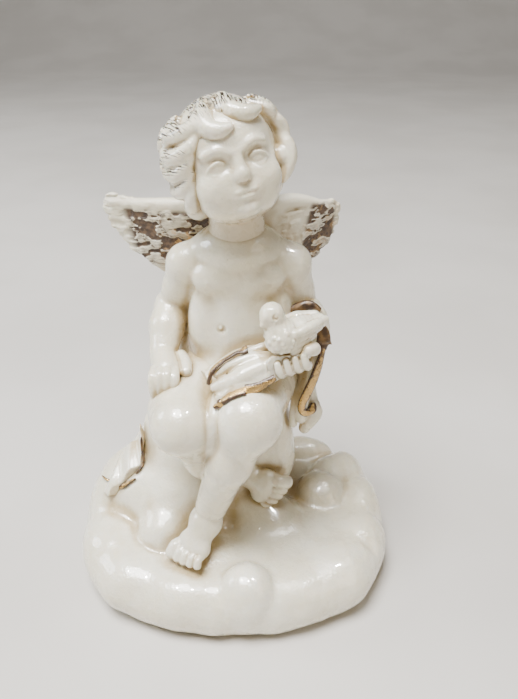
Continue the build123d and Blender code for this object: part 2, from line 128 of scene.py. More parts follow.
def spline(points, count):
    """Points on a smooth curve through the given rows of numbers."""
    p = np.array(points, float)
    p = np.vstack([2 * p[0] - p[1], p, 2 * p[-1] - p[-2]])
    rows = []
    for s in np.linspace(0, len(p) - 3 - 1e-6, count):
        i, t = int(s), s - int(s)
        a, b, c, d = p[i : i + 4]
        rows.append(
            0.5 * (2 * b + (c - a) * t + (2 * a - 5 * b + 4 * c - d) * t**2)
            + 0.5 * (3 * b - 3 * c + d - a) * t**3
        )
    return np.array(rows)


def strand(rows, smooth=0):
    """A chain of tapers through rows of (x, y, z, radius)."""
    rows = np.array(rows, float)
    if smooth:
        rows = spline(rows, smooth)
    links = [cone(p[:3], q[:3], p[3], q[3]) for p, q in zip(rows[:-1], rows[1:])]
    low = np.min([link[0] for link in links], axis=0)
    high = np.max([link[1] for link in links], axis=0)

    def distance(x, y, z):
        found = links[0][2](x, y, z)
        for link in links[1:]:
            found = np.minimum(found, link[2](x, y, z))
        return found

    return low, high, distance


def soft_min(a, b, k):
    h = np.clip(0.5 + 0.5 * (b - a) / k, 0, 1)
    return b + (a - b) * h - k * h * (1 - h)


class Clay:
    """A solid held as signed distances on a grid."""

    def __init__(self, low, high, step):
        self.step = step
        self.low = np.array(low, float)
        size = np.ceil((np.array(high, float) - self.low) / step).astype(int) + 1
        self.d = np.full(size, FAR, np.float32)

    def window(self, low, high):
        first = np.clip(np.floor((low - self.low) / self.step).astype(int), 0, self.d.shape)
        last = np.clip(np.ceil((high - self.low) / self.step).astype(int) + 1, 0, self.d.shape)
        cut = tuple(slice(a, b) for a, b in zip(first, last))
        lines = [
            (self.low[i] + self.step * np.arange(first[i], last[i])).astype(np.float32)
            for i in range(3)
        ]
        return cut, np.meshgrid(*lines, indexing="ij", sparse=True)

    def add(self, shape, k=0.5):
        """Joins a shape, with a fillet of about k."""
        low, high, distance = shape
        cut, (x, y, z) = self.window(low - k - 1, high + k + 1)
        self.d[cut] = soft_min(self.d[cut], distance(x, y, z), k)

    def cut(self, shape, k=0.3):
        low, high, distance = shape
        cut, (x, y, z) = self.window(low - k - 1, high + k + 1)
        self.d[cut] = -soft_min(-self.d[cut], distance(x, y, z), k)

    def add_blobs(self, origin, rows):
        """Blobs from rows of (x, y, z, radii, k) that are given about an origin."""
        for x, y, z, radii, k in rows:
            self.add(blob(origin + vec(x, y, z), radii), k)

    def add_strand(self, origin, rows, k, smooth=0):
        """A strand through rows of (x, y, z, radius) that are given about an origin."""
        self.add(strand(moved(origin, rows), smooth), k)

    def cut_strand(self, origin, rows, k, smooth=0):
        self.cut(strand(moved(origin, rows), smooth), k)

    def join(self, other, k):
        """Joins clay on the same grid."""
        self.d = soft_min(self.d, other.d, k)

    def clear(self, body, gap=0.05):
        """Takes away what lies inside other clays, whose distances on this grid are given."""
        self.d[:] = -soft_min(-self.d, body + gap, gap)

    def whole(self):
        return self.window(self.low, self.low + self.step * np.array(self.d.shape))[1]

    def gap_to(self, *others):
        """How far this grid's points are from the nearest of other clays."""
        x, y, z = np.broadcast_arrays(*self.whole())
        points = np.stack([x, y, z], -1).reshape(-1, 3)
        return np.min([other.sample(points) for other in others], axis=0).reshape(x.shape)

    def sample(self, points):
        """Distances at points, FAR outside the grid."""
        q = (points - self.low) / self.step
        top = np.array(self.d.shape) - 1.001
        inside = ((q >= 0) & (q <= top)).all(1)
        q = np.clip(q, 0, top)
        i = q.astype(int)
        f = q - i
        total = np.zeros(len(q))
        for corner in range(8):
            o = np.array([corner & 1, corner >> 1 & 1, corner >> 2 & 1])
            weight = np.prod(np.where(o, f, 1 - f), axis=1)
            total += weight * self.d[i[:, 0] + o[0], i[:, 1] + o[1], i[:, 2] + o[2]]
        return np.where(inside, total, FAR)

    def slope(self, points):
        """Unit directions of growing distance."""
        e = self.step * 0.75
        rise = [
            self.sample(points + e * axis) - self.sample(points - e * axis)
            for axis in np.eye(3)
        ]
        g = np.stack(rise, 1)
        return g / (np.linalg.norm(g, axis=1)[:, None] + 1e-9)

    def skin(self, start, towards):
        """The first point of the surface on a line from inside the solid."""
        line = np.array(start, float) + np.arange(0, 25, 0.1)[:, None] * unit(vec(*towards))
        out = np.nonzero(self.sample(line) > 0)[0]
        return line[out[0]] if len(out) else line[0]


def net(clay):
    """Surface nets: one vertex for each cell that the surface crosses."""
    d = clay.d
    size = np.array(d.shape)
    inside = d < 0
    count = np.zeros(size - 1, np.int8)
    for o in np.ndindex(2, 2, 2):
        count += inside[tuple(slice(a, n - 1 + a) for a, n in zip(o, size))]
    cells = np.argwhere((count > 0) & (count < 8))
    index = np.full(size - 1, -1, np.int64)
    index[tuple(cells.T)] = np.arange(len(cells))
    total, hits = np.zeros((len(cells), 3)), np.zeros(len(cells))
    for axis in range(3):
        others = [a for a in range(3) if a != axis]
        for o in np.ndindex(2, 2):
            a = np.zeros(3, int)
            a[others] = o
            b = a.copy()
            b[axis] = 1
            da = d[tuple((cells + a).T)]
            db = d[tuple((cells + b).T)]
            crossed = (da < 0) != (db < 0)
            t = np.where(crossed, da / np.where(crossed, da - db, 1), 0)
            point = cells + a + t[:, None] * (b - a)
            total += np.where(crossed[:, None], point, 0)
            hits += crossed
    points = clay.low + clay.step * total / hits[:, None]
    quads = []
    for axis in range(3):
        u, v = (axis + 1) % 3, (axis + 2) % 3
        low = tuple(slice(0, n - 1) if a == axis else slice(1, n - 1) for a, n in enumerate(size))
        high = tuple(slice(1, n) if a == axis else slice(1, n - 1) for a, n in enumerate(size))
        crossed = inside[low] != inside[high]
        start = np.argwhere(crossed)
        outwards = inside[low][tuple(start.T)]
        start[:, u] += 1
        start[:, v] += 1
        du, dv = np.eye(3, dtype=int)[u], np.eye(3, dtype=int)[v]
        corners = [start - du - dv, start - dv, start, start - du]
        quad = np.stack([index[tuple(c.T)] for c in corners], 1)
        quad[~outwards] = quad[~outwards][:, ::-1]
        quads.append(quad)
    return points, np.vstack(quads)


def relax(clay, points, quads, rounds):
    """Evens the net out, and puts it back on the surface."""
    for _ in range(rounds):
        total, hits = np.zeros_like(points), np.zeros(len(points))
        for a, b in ((0, 1), (1, 2), (2, 3), (3, 0)):
            for p, q in ((a, b), (b, a)):
                np.add.at(hits, quads[:, p], 1)
                for axis in range(3):
                    total[:, axis] += np.bincount(
                        quads[:, p], points[quads[:, q], axis], len(points)
                    )
        points = 0.5 * points + 0.5 * total / hits[:, None]
        gap = np.clip(clay.sample(points), -clay.step, clay.step)
        points = points - clay.slope(points) * gap[:, None]
    return points


# ------------------------------------------------------------------ objects
sculpted = []


def add_object(name, mesh, material):
    mesh.shade_smooth()
    mesh.materials.append(material)
    obj = bpy.data.objects.new(name, mesh)
    bpy.context.scene.collection.objects.link(obj)
    return obj


def set_values(obj, name, numbers):
    """One number for each vertex, which the materials read by name."""
    layer = obj.data.attributes.new(name, "FLOAT", "POINT")
    layer.data.foreach_set("value", np.array(numbers, np.float32))


def piece(name, clay, material, nodes, slot, rounds):
    """A sculpted piece that stands for CAD nodes."""
    points, quads = net(clay)
    points = relax(clay, points, quads, rounds)
    mesh = bpy.data.meshes.new(name)
    mesh.vertices.add(len(points))
    mesh.vertices.foreach_set("co", (points * MM).astype(np.float32).ravel())
    mesh.loops.add(quads.size)
    mesh.loops.foreach_set("vertex_index", quads.ravel().astype(np.int32))
    mesh.polygons.add(len(quads))
    mesh.polygons.foreach_set("loop_start", np.arange(0, quads.size, 4, dtype=np.int32))
    mesh.update(calc_edges=True)
    mesh.validate()
    obj = add_object(name, mesh, material)
    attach(obj, "root")
    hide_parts(*nodes)
    sculpted.append((obj, clay, points))


BAND_SIDES = 12


def ribbon(name, rows, normal_of, material, thick, count):
    """A flat raised band along rows of (x, y, z, half width), standing on a surface."""
    squareness, underside, crown = 0.7, 0.7, 0.35
    line = spline(rows, count)
    centre, half = line[:, :3], line[:, 3]
    along = np.gradient(centre, axis=0)
    along /= np.linalg.norm(along, axis=1)[:, None]
    normal = normal_of(centre)
    across = np.cross(along, normal)
    across /= np.linalg.norm(across, axis=1)[:, None]
    normal = np.cross(across, along)
    rings = []
    for i in range(BAND_SIDES):
        a = 2 * pi * i / BAND_SIDES
        u = np.sign(cos(a)) * abs(cos(a)) ** squareness
        v = sin(a) * (thick if sin(a) > 0 else thick * underside)
        lift = crown * thick * (1 - u * u)
        rings.append(centre + across * (half * u)[:, None] + normal * (v + lift))
    points = np.stack(rings, 1)
    ends = points[[0, -1]].mean(1)
    flat = np.vstack([points.reshape(-1, 3), ends])
    last = (count - 1) * BAND_SIDES
    edges = [(i, (i + 1) % BAND_SIDES) for i in range(BAND_SIDES)]
    faces = []
    for start in range(0, last, BAND_SIDES):
        after = start + BAND_SIDES
        faces += [(start + i, start + j, after + j, after + i) for i, j in edges]
    for i, j in edges:
        faces.append((j, i, count * BAND_SIDES))
        faces.append((last + i, last + j, count * BAND_SIDES + 1))
    mesh = bpy.data.meshes.new(name)
    mesh.from_pydata([tuple(p * MM) for p in flat], [], faces)
    mesh.update()
    obj = add_object(name, mesh, material)
    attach(obj, "root")
    return obj


# ------------------------------------------------------------------ materials
class Nodes:
    """Short calls for building a material."""

    def __init__(self, name):
        self.material = bpy.data.materials.new(name)
        self.material.use_nodes = True
        self.tree = self.material.node_tree
        self.shader = self.tree.nodes["Principled BSDF"]
        coordinates = self.tree.nodes.new("ShaderNodeTexCoord")
        scale = self.tree.nodes.new("ShaderNodeVectorMath")
        scale.operation = "SCALE"
        scale.inputs["Scale"].default_value = 1 / MM
        self.link(coordinates.outputs["Object"], scale.inputs[0])
        self.mm = scale.outputs[0]

    def link(self, a, b):
        self.tree.links.new(a, b)

    def attribute(self, name):
        node = self.tree.nodes.new("ShaderNodeAttribute")
        node.attribute_name = name
        return node.outputs["Fac"]

    def noise(self, size, detail=3.0, rough=0.5, stretch=None, distort=0.0):
        node = self.tree.nodes.new("ShaderNodeTexNoise")
        node.inputs["Scale"].default_value = 1 / size
        node.inputs["Detail"].default_value = detail
        node.inputs["Roughness"].default_value = rough
        node.inputs["Distortion"].default_value = distort
        place = self.mm
        if stretch:
            mapping = self.tree.nodes.new("ShaderNodeMapping")
            mapping.inputs["Scale"].default_value = stretch
            self.link(self.mm, mapping.inputs["Vector"])
            place = mapping.outputs["Vector"]
        self.link(place, node.inputs["Vector"])
        return node.outputs["Fac"]

    def ramp(self, factor, low, high, low_value=0.0, high_value=1.0):
        node = self.tree.nodes.new("ShaderNodeMapRange")
        node.interpolation_type = "SMOOTHSTEP"
        for key, value in zip(
            ("From Min", "From Max", "To Min", "To Max"), (low, high, low_value, high_value)
        ):
            node.inputs[key].default_value = value
        self.link(factor, node.inputs["Value"])
        return node.outputs["Result"]

    def math(self, operation, a, b):
        node = self.tree.nodes.new("ShaderNodeMath")
        node.operation = operation
        node.use_clamp = True
        for socket, value in zip(node.inputs, (a, b)):
            if isinstance(value, float):
                socket.default_value = value
            else:
                self.link(value, socket)
        return node.outputs[0]

    def times(self, a, b):
        return self.math("MULTIPLY", a, b)

    def torn(self, value, noise, amount):
        """A value with its contours torn by a noise."""
        return self.math("ADD", value, self.times(self.math("SUBTRACT", noise, 0.5), amount))

    def mix(self, factor, a, b):
        node = self.tree.nodes.new("ShaderNodeMix")
        node.data_type = "RGBA"
        self.link(factor, node.inputs[0])
        for socket, value in ((node.inputs[6], a), (node.inputs[7], b)):
            if isinstance(value, tuple):
                socket.default_value = (*value, 1)
            else:
                self.link(value, socket)
        return node.outputs[2]

    def bump(self, height, depth, strength):
        node = self.tree.nodes.new("ShaderNodeBump")
        node.inputs["Strength"].default_value = strength
        node.inputs["Distance"].default_value = depth * MM
        self.link(height, node.inputs["Height"])
        self.link(node.outputs["Normal"], self.shader.inputs["Normal"])

    def set(self, **values):
        for key, value in values.items():
            socket = self.shader.inputs[key.replace("_", " ")]
            if hasattr(value, "links"):
                self.link(value, socket)
            else:
                socket.default_value = value


IVORY = (0.76, 0.70, 0.535)
IVORY_LIGHT = (0.82, 0.78, 0.645)
# TAN is the painted shade of the hollows and grooves
TAN = (0.44, 0.32, 0.145)
SPECK = (0.30, 0.22, 0.13)
GRIME = (0.30, 0.245, 0.165)
BROWN = (0.045, 0.022, 0.009)
BROWN_LIGHT = (0.11, 0.06, 0.025)
UMBER = (0.025, 0.012, 0.006)
GOLD = (0.62, 0.36, 0.12)
GILT_BRIGHT, GILT_WORN = (0.56, 0.36, 0.13), (0.06, 0.03, 0.012)
BRONZE_DARK, BRONZE_LIGHT = (0.04, 0.02, 0.01), (0.17, 0.095, 0.035)
FELT_DARK, FELT_LIGHT = (0.27, 0.22, 0.15), (0.46, 0.40, 0.30)
STEEL_DARK, STEEL_LIGHT = (0.42, 0.42, 0.43), (0.62, 0.62, 0.63)
FLOOR_DARK, FLOOR_LIGHT = (0.56, 0.53, 0.485), (0.61, 0.58, 0.535)


def resin_base(n):
    """Cream resin: lighter and darker clouds, and a painted warm shade in the hollows."""
    cloud = n.ramp(n.noise(9.0, 3.0), 0.35, 0.7)
    cream = n.mix(cloud, IVORY, IVORY_LIGHT)
    # painted shade: where the pieces close in on a point the cream turns tan, a little unevenly
    hollow_shade = n.ramp(n.attribute("hollow_shade"), 0.14, 0.74, 0.0, 0.85)
    patch = n.ramp(n.noise(3.0, 4.0), 0.3, 0.75, 0.85, 1.0)
    return n.mix(n.times(hollow_shade, patch), cream, TAN)


def finish_resin(n, colour):
    """Gloss of a brushed lacquer over resin that lets a little light in."""
    smear = n.ramp(n.noise(2.4, 4.0, 0.6), 0.3, 0.75, 0.20, 0.40)
    n.set(Base_Color=colour, Roughness=smear, IOR=1.5)
    n.set(Subsurface_Weight=0.18, Subsurface_Scale=0.0008, Coat_Weight=0.8)
    n.set(Coat_Roughness=0.045, Coat_IOR=1.5, Subsurface_Radius=(1.0, 0.66, 0.36))


def make_resin():
    n = Nodes("resin_ivory")
    colour = resin_base(n)
    # painted shade: the grooves of each piece turn tan
    groove = n.ramp(n.attribute("groove"), 0.3, 0.8, 0.0, 0.6)
    colour = n.mix(groove, colour, TAN)
    speck = n.ramp(n.noise(0.42, 2.0), 0.735, 0.76)
    colour = n.mix(n.times(speck, 0.35), colour, SPECK)
    finish_resin(n, colour)
    coarse, fine = n.noise(1.5, 3.0), n.noise(0.4, 2.0)
    ripple = n.math("ADD", n.times(coarse, 0.65), n.times(fine, 0.35))
    n.bump(ripple, 0.30, 0.62)
    return n.material


def make_hair_resin():
    n = Nodes("resin_hair")
    colour = resin_base(n)
    comb = n.tree.nodes.new("ShaderNodeCombineXYZ")
    n.link(n.attribute("comb_across"), comb.inputs["X"])
    n.link(n.attribute("comb_along"), comb.inputs["Y"])
    lines = n.tree.nodes.new("ShaderNodeTexNoise")
    lines.inputs["Scale"].default_value = 1.0
    lines.inputs["Detail"].default_value = 5.0
    lines.inputs["Roughness"].default_value = 0.66
    n.link(comb.outputs["Vector"], lines.inputs["Vector"])
    thin = n.ramp(lines.outputs["Fac"], 0.505, 0.535)
    where = n.ramp(n.noise(3.6, 2.0), 0.38, 0.48)
    top = n.attribute("crown")
    wash = n.times(n.times(thin, where), top)
    groove = n.ramp(n.attribute("groove"), 0.35, 0.75)
    deep = n.times(groove, n.times(top, n.ramp(n.noise(1.3, 3.0), 0.50, 0.60)))
    # painted shade: the grooves turn tan, as on the other resin
    colour = n.mix(n.ramp(n.attribute("groove"), 0.3, 0.8, 0.0, 0.6), colour, TAN)
    colour = n.mix(n.math("MAXIMUM", wash, n.times(deep, 0.8)), colour, UMBER)
    finish_resin(n, colour)
    n.bump(n.math("SUBTRACT", n.noise(0.9, 3.0, 0.6), n.times(wash, 0.4)), 0.3, 0.5)
    return n.material


def make_wing_resin():
    n = Nodes("resin_wing")
    colour = resin_base(n)
    fine = n.noise(0.6, 6.0, 0.75, (0.35, 1.0, 1.7))
    wash = n.attribute("wash")
    stain = n.times(n.ramp(n.torn(n.attribute("stain"), fine, 1.8), 0.50, 0.62), wash)
    edge = n.times(wash, n.ramp(fine, 0.42, 0.55))
    edge = n.times(n.ramp(n.attribute("groove"), 0.30, 0.62), edge)
    grime = n.ramp(n.noise(0.9, 5.0, 0.65, (0.6, 1.0, 1.3)), 0.35, 0.65, 0.1, 0.7)
    colour = n.mix(n.times(n.times(grime, wash), 0.7), colour, GRIME)
    gilt = n.times(n.ramp(n.noise(1.4, 3.0), 0.55, 0.62), n.attribute("gilt"))
    brown = n.mix(n.ramp(n.noise(0.8, 3.0), 0.4, 0.62), BROWN, BROWN_LIGHT)
    colour = n.mix(n.math("MAXIMUM", stain, edge), colour, brown)
    colour = n.mix(n.times(gilt, 0.8), colour, GOLD)
    finish_resin(n, colour)
    roughness = n.ramp(stain, 0.0, 1.0, 0.3, 0.6)
    n.set(Coat_Weight=0.25, Subsurface_Weight=0.1, Roughness=roughness)
    n.bump(fine, 0.3, 0.6)
    return n.material


def make_gilt():
    n = Nodes("gilt_paint")
    worn = n.ramp(n.noise(0.7, 4.0, 0.6), 0.44, 0.60)
    side = n.ramp(n.torn(n.attribute("edge"), n.noise(0.6, 3.0), 1.3), 0.42, 0.62)
    dark = n.math("MAXIMUM", side, n.times(worn, n.attribute("shade")))
    colour = n.mix(dark, GILT_BRIGHT, GILT_WORN)
    n.set(Base_Color=colour, Metallic=n.ramp(dark, 0.0, 1.0, 0.9, 0.2))
    n.set(Roughness=n.ramp(n.noise(0.4, 3.0), 0.3, 0.7, 0.22, 0.45))
    n.set(Coat_Weight=0.3, Coat_Roughness=0.1)
    n.bump(n.noise(0.32, 4.0, 0.6), 0.16, 0.9)
    return n.material


def make_bronze():
    n = Nodes("bronze_wash")
    colour = n.mix(n.ramp(n.noise(1.4, 4.0), 0.4, 0.65), BRONZE_DARK, BRONZE_LIGHT)
    n.set(Base_Color=colour, Metallic=0.35, Roughness=n.ramp(n.noise(0.7), 0.3, 0.7, 0.3, 0.5))
    n.set(Coat_Weight=0.4, Coat_Roughness=0.1)
    n.bump(n.noise(0.5, 4.0), 0.12, 0.6)
    return n.material


def make_felt():
    n = Nodes("felt")
    fibre = n.noise(0.12, 6.0, 0.8, (1.0, 0.35, 1.0), 2.0)
    colour = n.mix(n.ramp(fibre, 0.35, 0.7), FELT_DARK, FELT_LIGHT)
    n.set(Base_Color=colour, Roughness=n.ramp(fibre, 0.3, 0.7, 0.85, 0.98), Sheen_Weight=0.5)
    n.bump(fibre, 0.15, 0.9)
    return n.material


def make_steel():
    n = Nodes("steel_wire")
    drawn = n.noise(0.06, 3.0, 0.6, (1.0, 0.1, 1.0))
    colour = n.mix(n.ramp(drawn, 0.3, 0.7), STEEL_DARK, STEEL_LIGHT)
    n.set(Base_Color=colour, Metallic=1.0, Roughness=n.ramp(drawn, 0.3, 0.7, 0.25, 0.42))
    n.bump(drawn, 0.01, 0.5)
    return n.material


def make_floor():
    n = Nodes("floor")
    colour = n.mix(n.ramp(n.noise(60.0, 3.0), 0.35, 0.65), FLOOR_DARK, FLOOR_LIGHT)
    n.set(Base_Color=colour, Roughness=0.55)
    return n.material


RESIN, HAIR, WING = make_resin(), make_hair_resin(), make_wing_resin()
GILT, BRONZE, FELT, STEEL = make_gilt(), make_bronze(), make_felt(), make_steel()


# ------------------------------------------------------------------ landmarks
pelvis = at("torso", 0.494, 0.515, 0.150)
collar = at("torso", 0.473, 0.501, 1.0)
hip = {1: at("leg_left", 0.774, 0.810, 0.835), -1: at("leg_right", 0.432, 0.803, 0.859)}
knee = {1: at("leg_left", 0.653, 0.173, 0.826), -1: at("leg_right", 0.198, 0.181, 0.735)}
ankle = {1: at("leg_left", 0.334, 0.278, 0.211), -1: at("leg_right", 0.590, 0.660, 0.258)}
shoulder = {1: pelvis + vec(8.4, 0.2, 20.0), -1: pelvis + vec(-9.2, 0.2, 20.0)}
elbow = {1: at("arm_left", 0.699, 0.847, 0.219), -1: at("arm_right", 0.23, 0.83, 0.40)}
wrist = {1: at("arm_left", 0.635, 0.402, 0.137), -1: at("arm_right", 0.27, 0.44, 0.17)}
palm = {1: at("arm_left", 0.428, 0.181, 0.171), -1: at("arm_right", 0.33, 0.25, 0.12)}
skull = at("head", 0.491, 0.513, 0.648)


def turn(x, y, z):
    """Turns about Y, then Z, then X, as the head's CAD frame does."""
    (cx, sx), (cy, sy), (cz, sz) = [(cos(radians(a)), sin(radians(a))) for a in (x, y, z)]
    about_x = np.array([[1, 0, 0], [0, cx, -sx], [0, sx, cx]])
    about_y = np.array([[cy, 0, sy], [0, 1, 0], [-sy, 0, cy]])
    about_z = np.array([[cz, -sz, 0], [sz, cz, 0], [0, 0, 1]])
    return about_y @ about_z @ about_x


def wobble(x, y, z, size):
    """Slow unevenness of something modelled by hand."""
    a = np.sin(x / size + 1.3) * np.sin(y / size * 1.13 + 0.7) * np.sin(z / size * 0.91 + 2.1)
    b = np.sin((x + y) / size * 1.9 + 0.4) * np.sin((z - x) / size * 1.7 + 1.1)
    return a * 0.7 + b * 0.3


# ------------------------------------------------------------------ mound and rock
def make_mound():
    low, high = BOX["base_mound"]
    half = (high - low) / 2
    wide, deep = half[0] - 0.2, half[1] - 0.2
    floor = low[2]
    near = (-wide - 1.5, -deep - 1.5, floor - 1.0)
    clay = Clay(near, (wide + 1.5, deep + 1.5, pelvis[2] + 1), MOUND_GRID)
    x, y, z = clay.whole()
    # a round-edged oval slab, under the lumps
    oval = (np.sqrt((x / wide) ** 2 + (y / deep) ** 2) - 1) * deep
    middle, tall, edge = floor + 4.6, 5.2, 5.0
    a = np.maximum(oval + edge, 0)
    b = np.maximum(np.abs(z - middle) - tall + edge, 0)
    inner = np.minimum(np.maximum(oval + edge, np.abs(z - middle) - tall + edge), 0)
    clay.d = (np.sqrt(a * a + b * b) + inner - edge).astype(np.float32)
    # x, y, height over the underside, radii, how softly it joins
    lumps = [
        (2.7, -deep + 4.7, 5.8, (5.6, 5.3, 6.8), 0.6),
        (-3.2, -deep + 5.0, 3.4, (5.4, 4.8, 4.3), 2.0),
        (7.6, -deep + 5.2, 3.2, (5.2, 4.8, 4.2), 2.0),
        (12.0, -deep + 6.6, 4.2, (5.6, 5.2, 5.0), 1.6),
        (15.8, -16.6, 4.2, (5.6, 5.4, 5.0), 2.0),
        (22.0, -11.0, 4.4, (5.4, 5.8, 5.2), 2.0),
        (-13.6, -17.6, 4.2, (6.0, 5.6, 5.0), 2.0),
        (-21.0, -12.4, 4.6, (5.6, 5.8, 5.0), 2.0),
        (19.0, -14.8, 4.6, (6.2, 6.0, 5.6), 1.8),
        (24.2, -6.4, 4.8, (4.8, 6.0, 5.6), 2.0),
        (25.2, 3.0, 5.8, (4.3, 6.6, 5.8), 1.8),
        (22.4, 10.6, 7.2, (4.6, 5.2, 5.4), 1.6),
        (13.6, 16.6, 8.0, (7.2, 4.0, 4.6), 1.4),
        (0.0, 18.6, 6.6, (7.6, 5.2, 5.6), 2.4),
        (-11.0, 17.6, 7.0, (7.2, 5.4, 6.0), 2.4),
        (-20.0, 12.0, 7.2, (6.4, 7.0, 6.4), 2.4),
        (-24.0, 2.0, 8.0, (5.2, 7.6, 6.6), 2.4),
        (-22.6, -8.4, 6.2, (6.0, 7.0, 5.4), 2.4),
        (-22.8, -11.0, 6.6, (2.6, 3.4, 3.0), 1.6),
        (-18.2, -15.6, 5.0, (6.2, 6.0, 5.4), 1.8),
        (-8.6, -19.6, 4.2, (6.4, 5.2, 5.4), 1.8),
        (-12.8, -8.8, 9.8, (5.0, 4.8, 5.4), 1.4),
        (17.0, 2.8, 9.0, (5.0, 5.0, 4.6), 1.6),
        (19.6, 8.6, 9.0, (4.2, 4.4, 4.0), 1.2),
        (-5.6, -13.4, 6.8, (6.6, 5.6, 4.6), 1.6),
        (6.6, -4.4, 5.8, (8.0, 7.2, 5.4), 2.0),
        (5.4, -3.6, 7.2, (7.6, 6.0, 6.0), 2.4),
        (-8.4, -1.4, 12.0, (8.4, 8.0, 9.6), 3.0),
        (3.2, -1.4, 11.0, (5.6, 4.4, 3.8), 2.2),
    ]
    clay.add_blobs(vec(0, 0, floor), lumps)
    rock = [
        (0.6, 0.6, 0.4, (9.6, 8.2, 3.6), 1.5),
        (-1.6, 1.4, -8.0, (11.2, 9.2, 9.0), 2.4),
        (-6.2, 1.6, -15.0, (15.4, 11.0, 8.6), 3.0),
        (-13.8, -1.6, -8.0, (4.6, 4.6, 6.0), 3.0),
        (-15.4, -3.6, -20.6, (9.6, 8.8, 8.2), 3.6),
        (-21.6, -2.0, -19.6, (5.6, 6.0, 5.4), 3.0),
        (-9.4, -4.6, -11.0, (6.0, 4.4, 6.4), 3.2),
        (7.2, -3.4, -8.4, (2.9, 4.0, 9.8), 1.6),
        (5.8, -3.7, -13.0, (4.2, 3.4, 7.0), 2.0),
        (5.6, 3.0, -14.6, (5.0, 6.0, 7.4), 2.6),
        (-8.0, 9.4, -12.0, (6.6, 5.0, 7.4), 2.0),
        (1.6, 9.6, -8.6, (5.2, 4.0, 6.2), 1.6),
        (-12.6, 6.4, -6.6, (4.6, 4.6, 5.4), 1.8),
    ]
    clay.add_blobs(pelvis + vec(-0.6, 2.4, -6.0), rock)
    # shallow valleys between the rim's lumps
    for valley in (
        [(26.2, -11.6, 9.2, 0.5), (20.6, -8.8, 12.8, 0.3)],
        [(25.0, 8.4, 14.0, 0.8), (21.4, 4.8, 14.8, 0.5)],
    ):
        clay.cut(strand(valley), 1.6)
    clay.d += 0.22 * wobble(x, y, z, 3.0) + 0.08 * wobble(x, y, z, 1.3)
    clay.d = np.maximum(clay.d, floor + 0.02 - z)
    return clay


mound_clay = make_mound()


# ------------------------------------------------------------------ legs and feet
def toes(clay, ball_of_foot, forward, inner, up, size):
    """Five toes. inner points from the little toe to the big toe."""
    for number in range(5):
        across = inner * size * (2.2 - 1.14 * number - (0.25 if number else 0))
        thick = size * (1.06, 0.78, 0.73, 0.68, 0.62)[number]
        reach = size * (2.2, 2.3, 2.1, 1.8, 1.4)[number]
        root = ball_of_foot + across * 0.86 - up * size * 0.2
        middle = ball_of_foot + across + forward * reach * 0.6 + up * size * 0.28
        tip = ball_of_foot + across * 1.03 + forward * reach - up * size * 0.45
        rows = [(*root, thick), (*middle, thick * 0.92), (*tip, thick * 1.02)]
        clay.add(strand(rows, 7), 0.16)


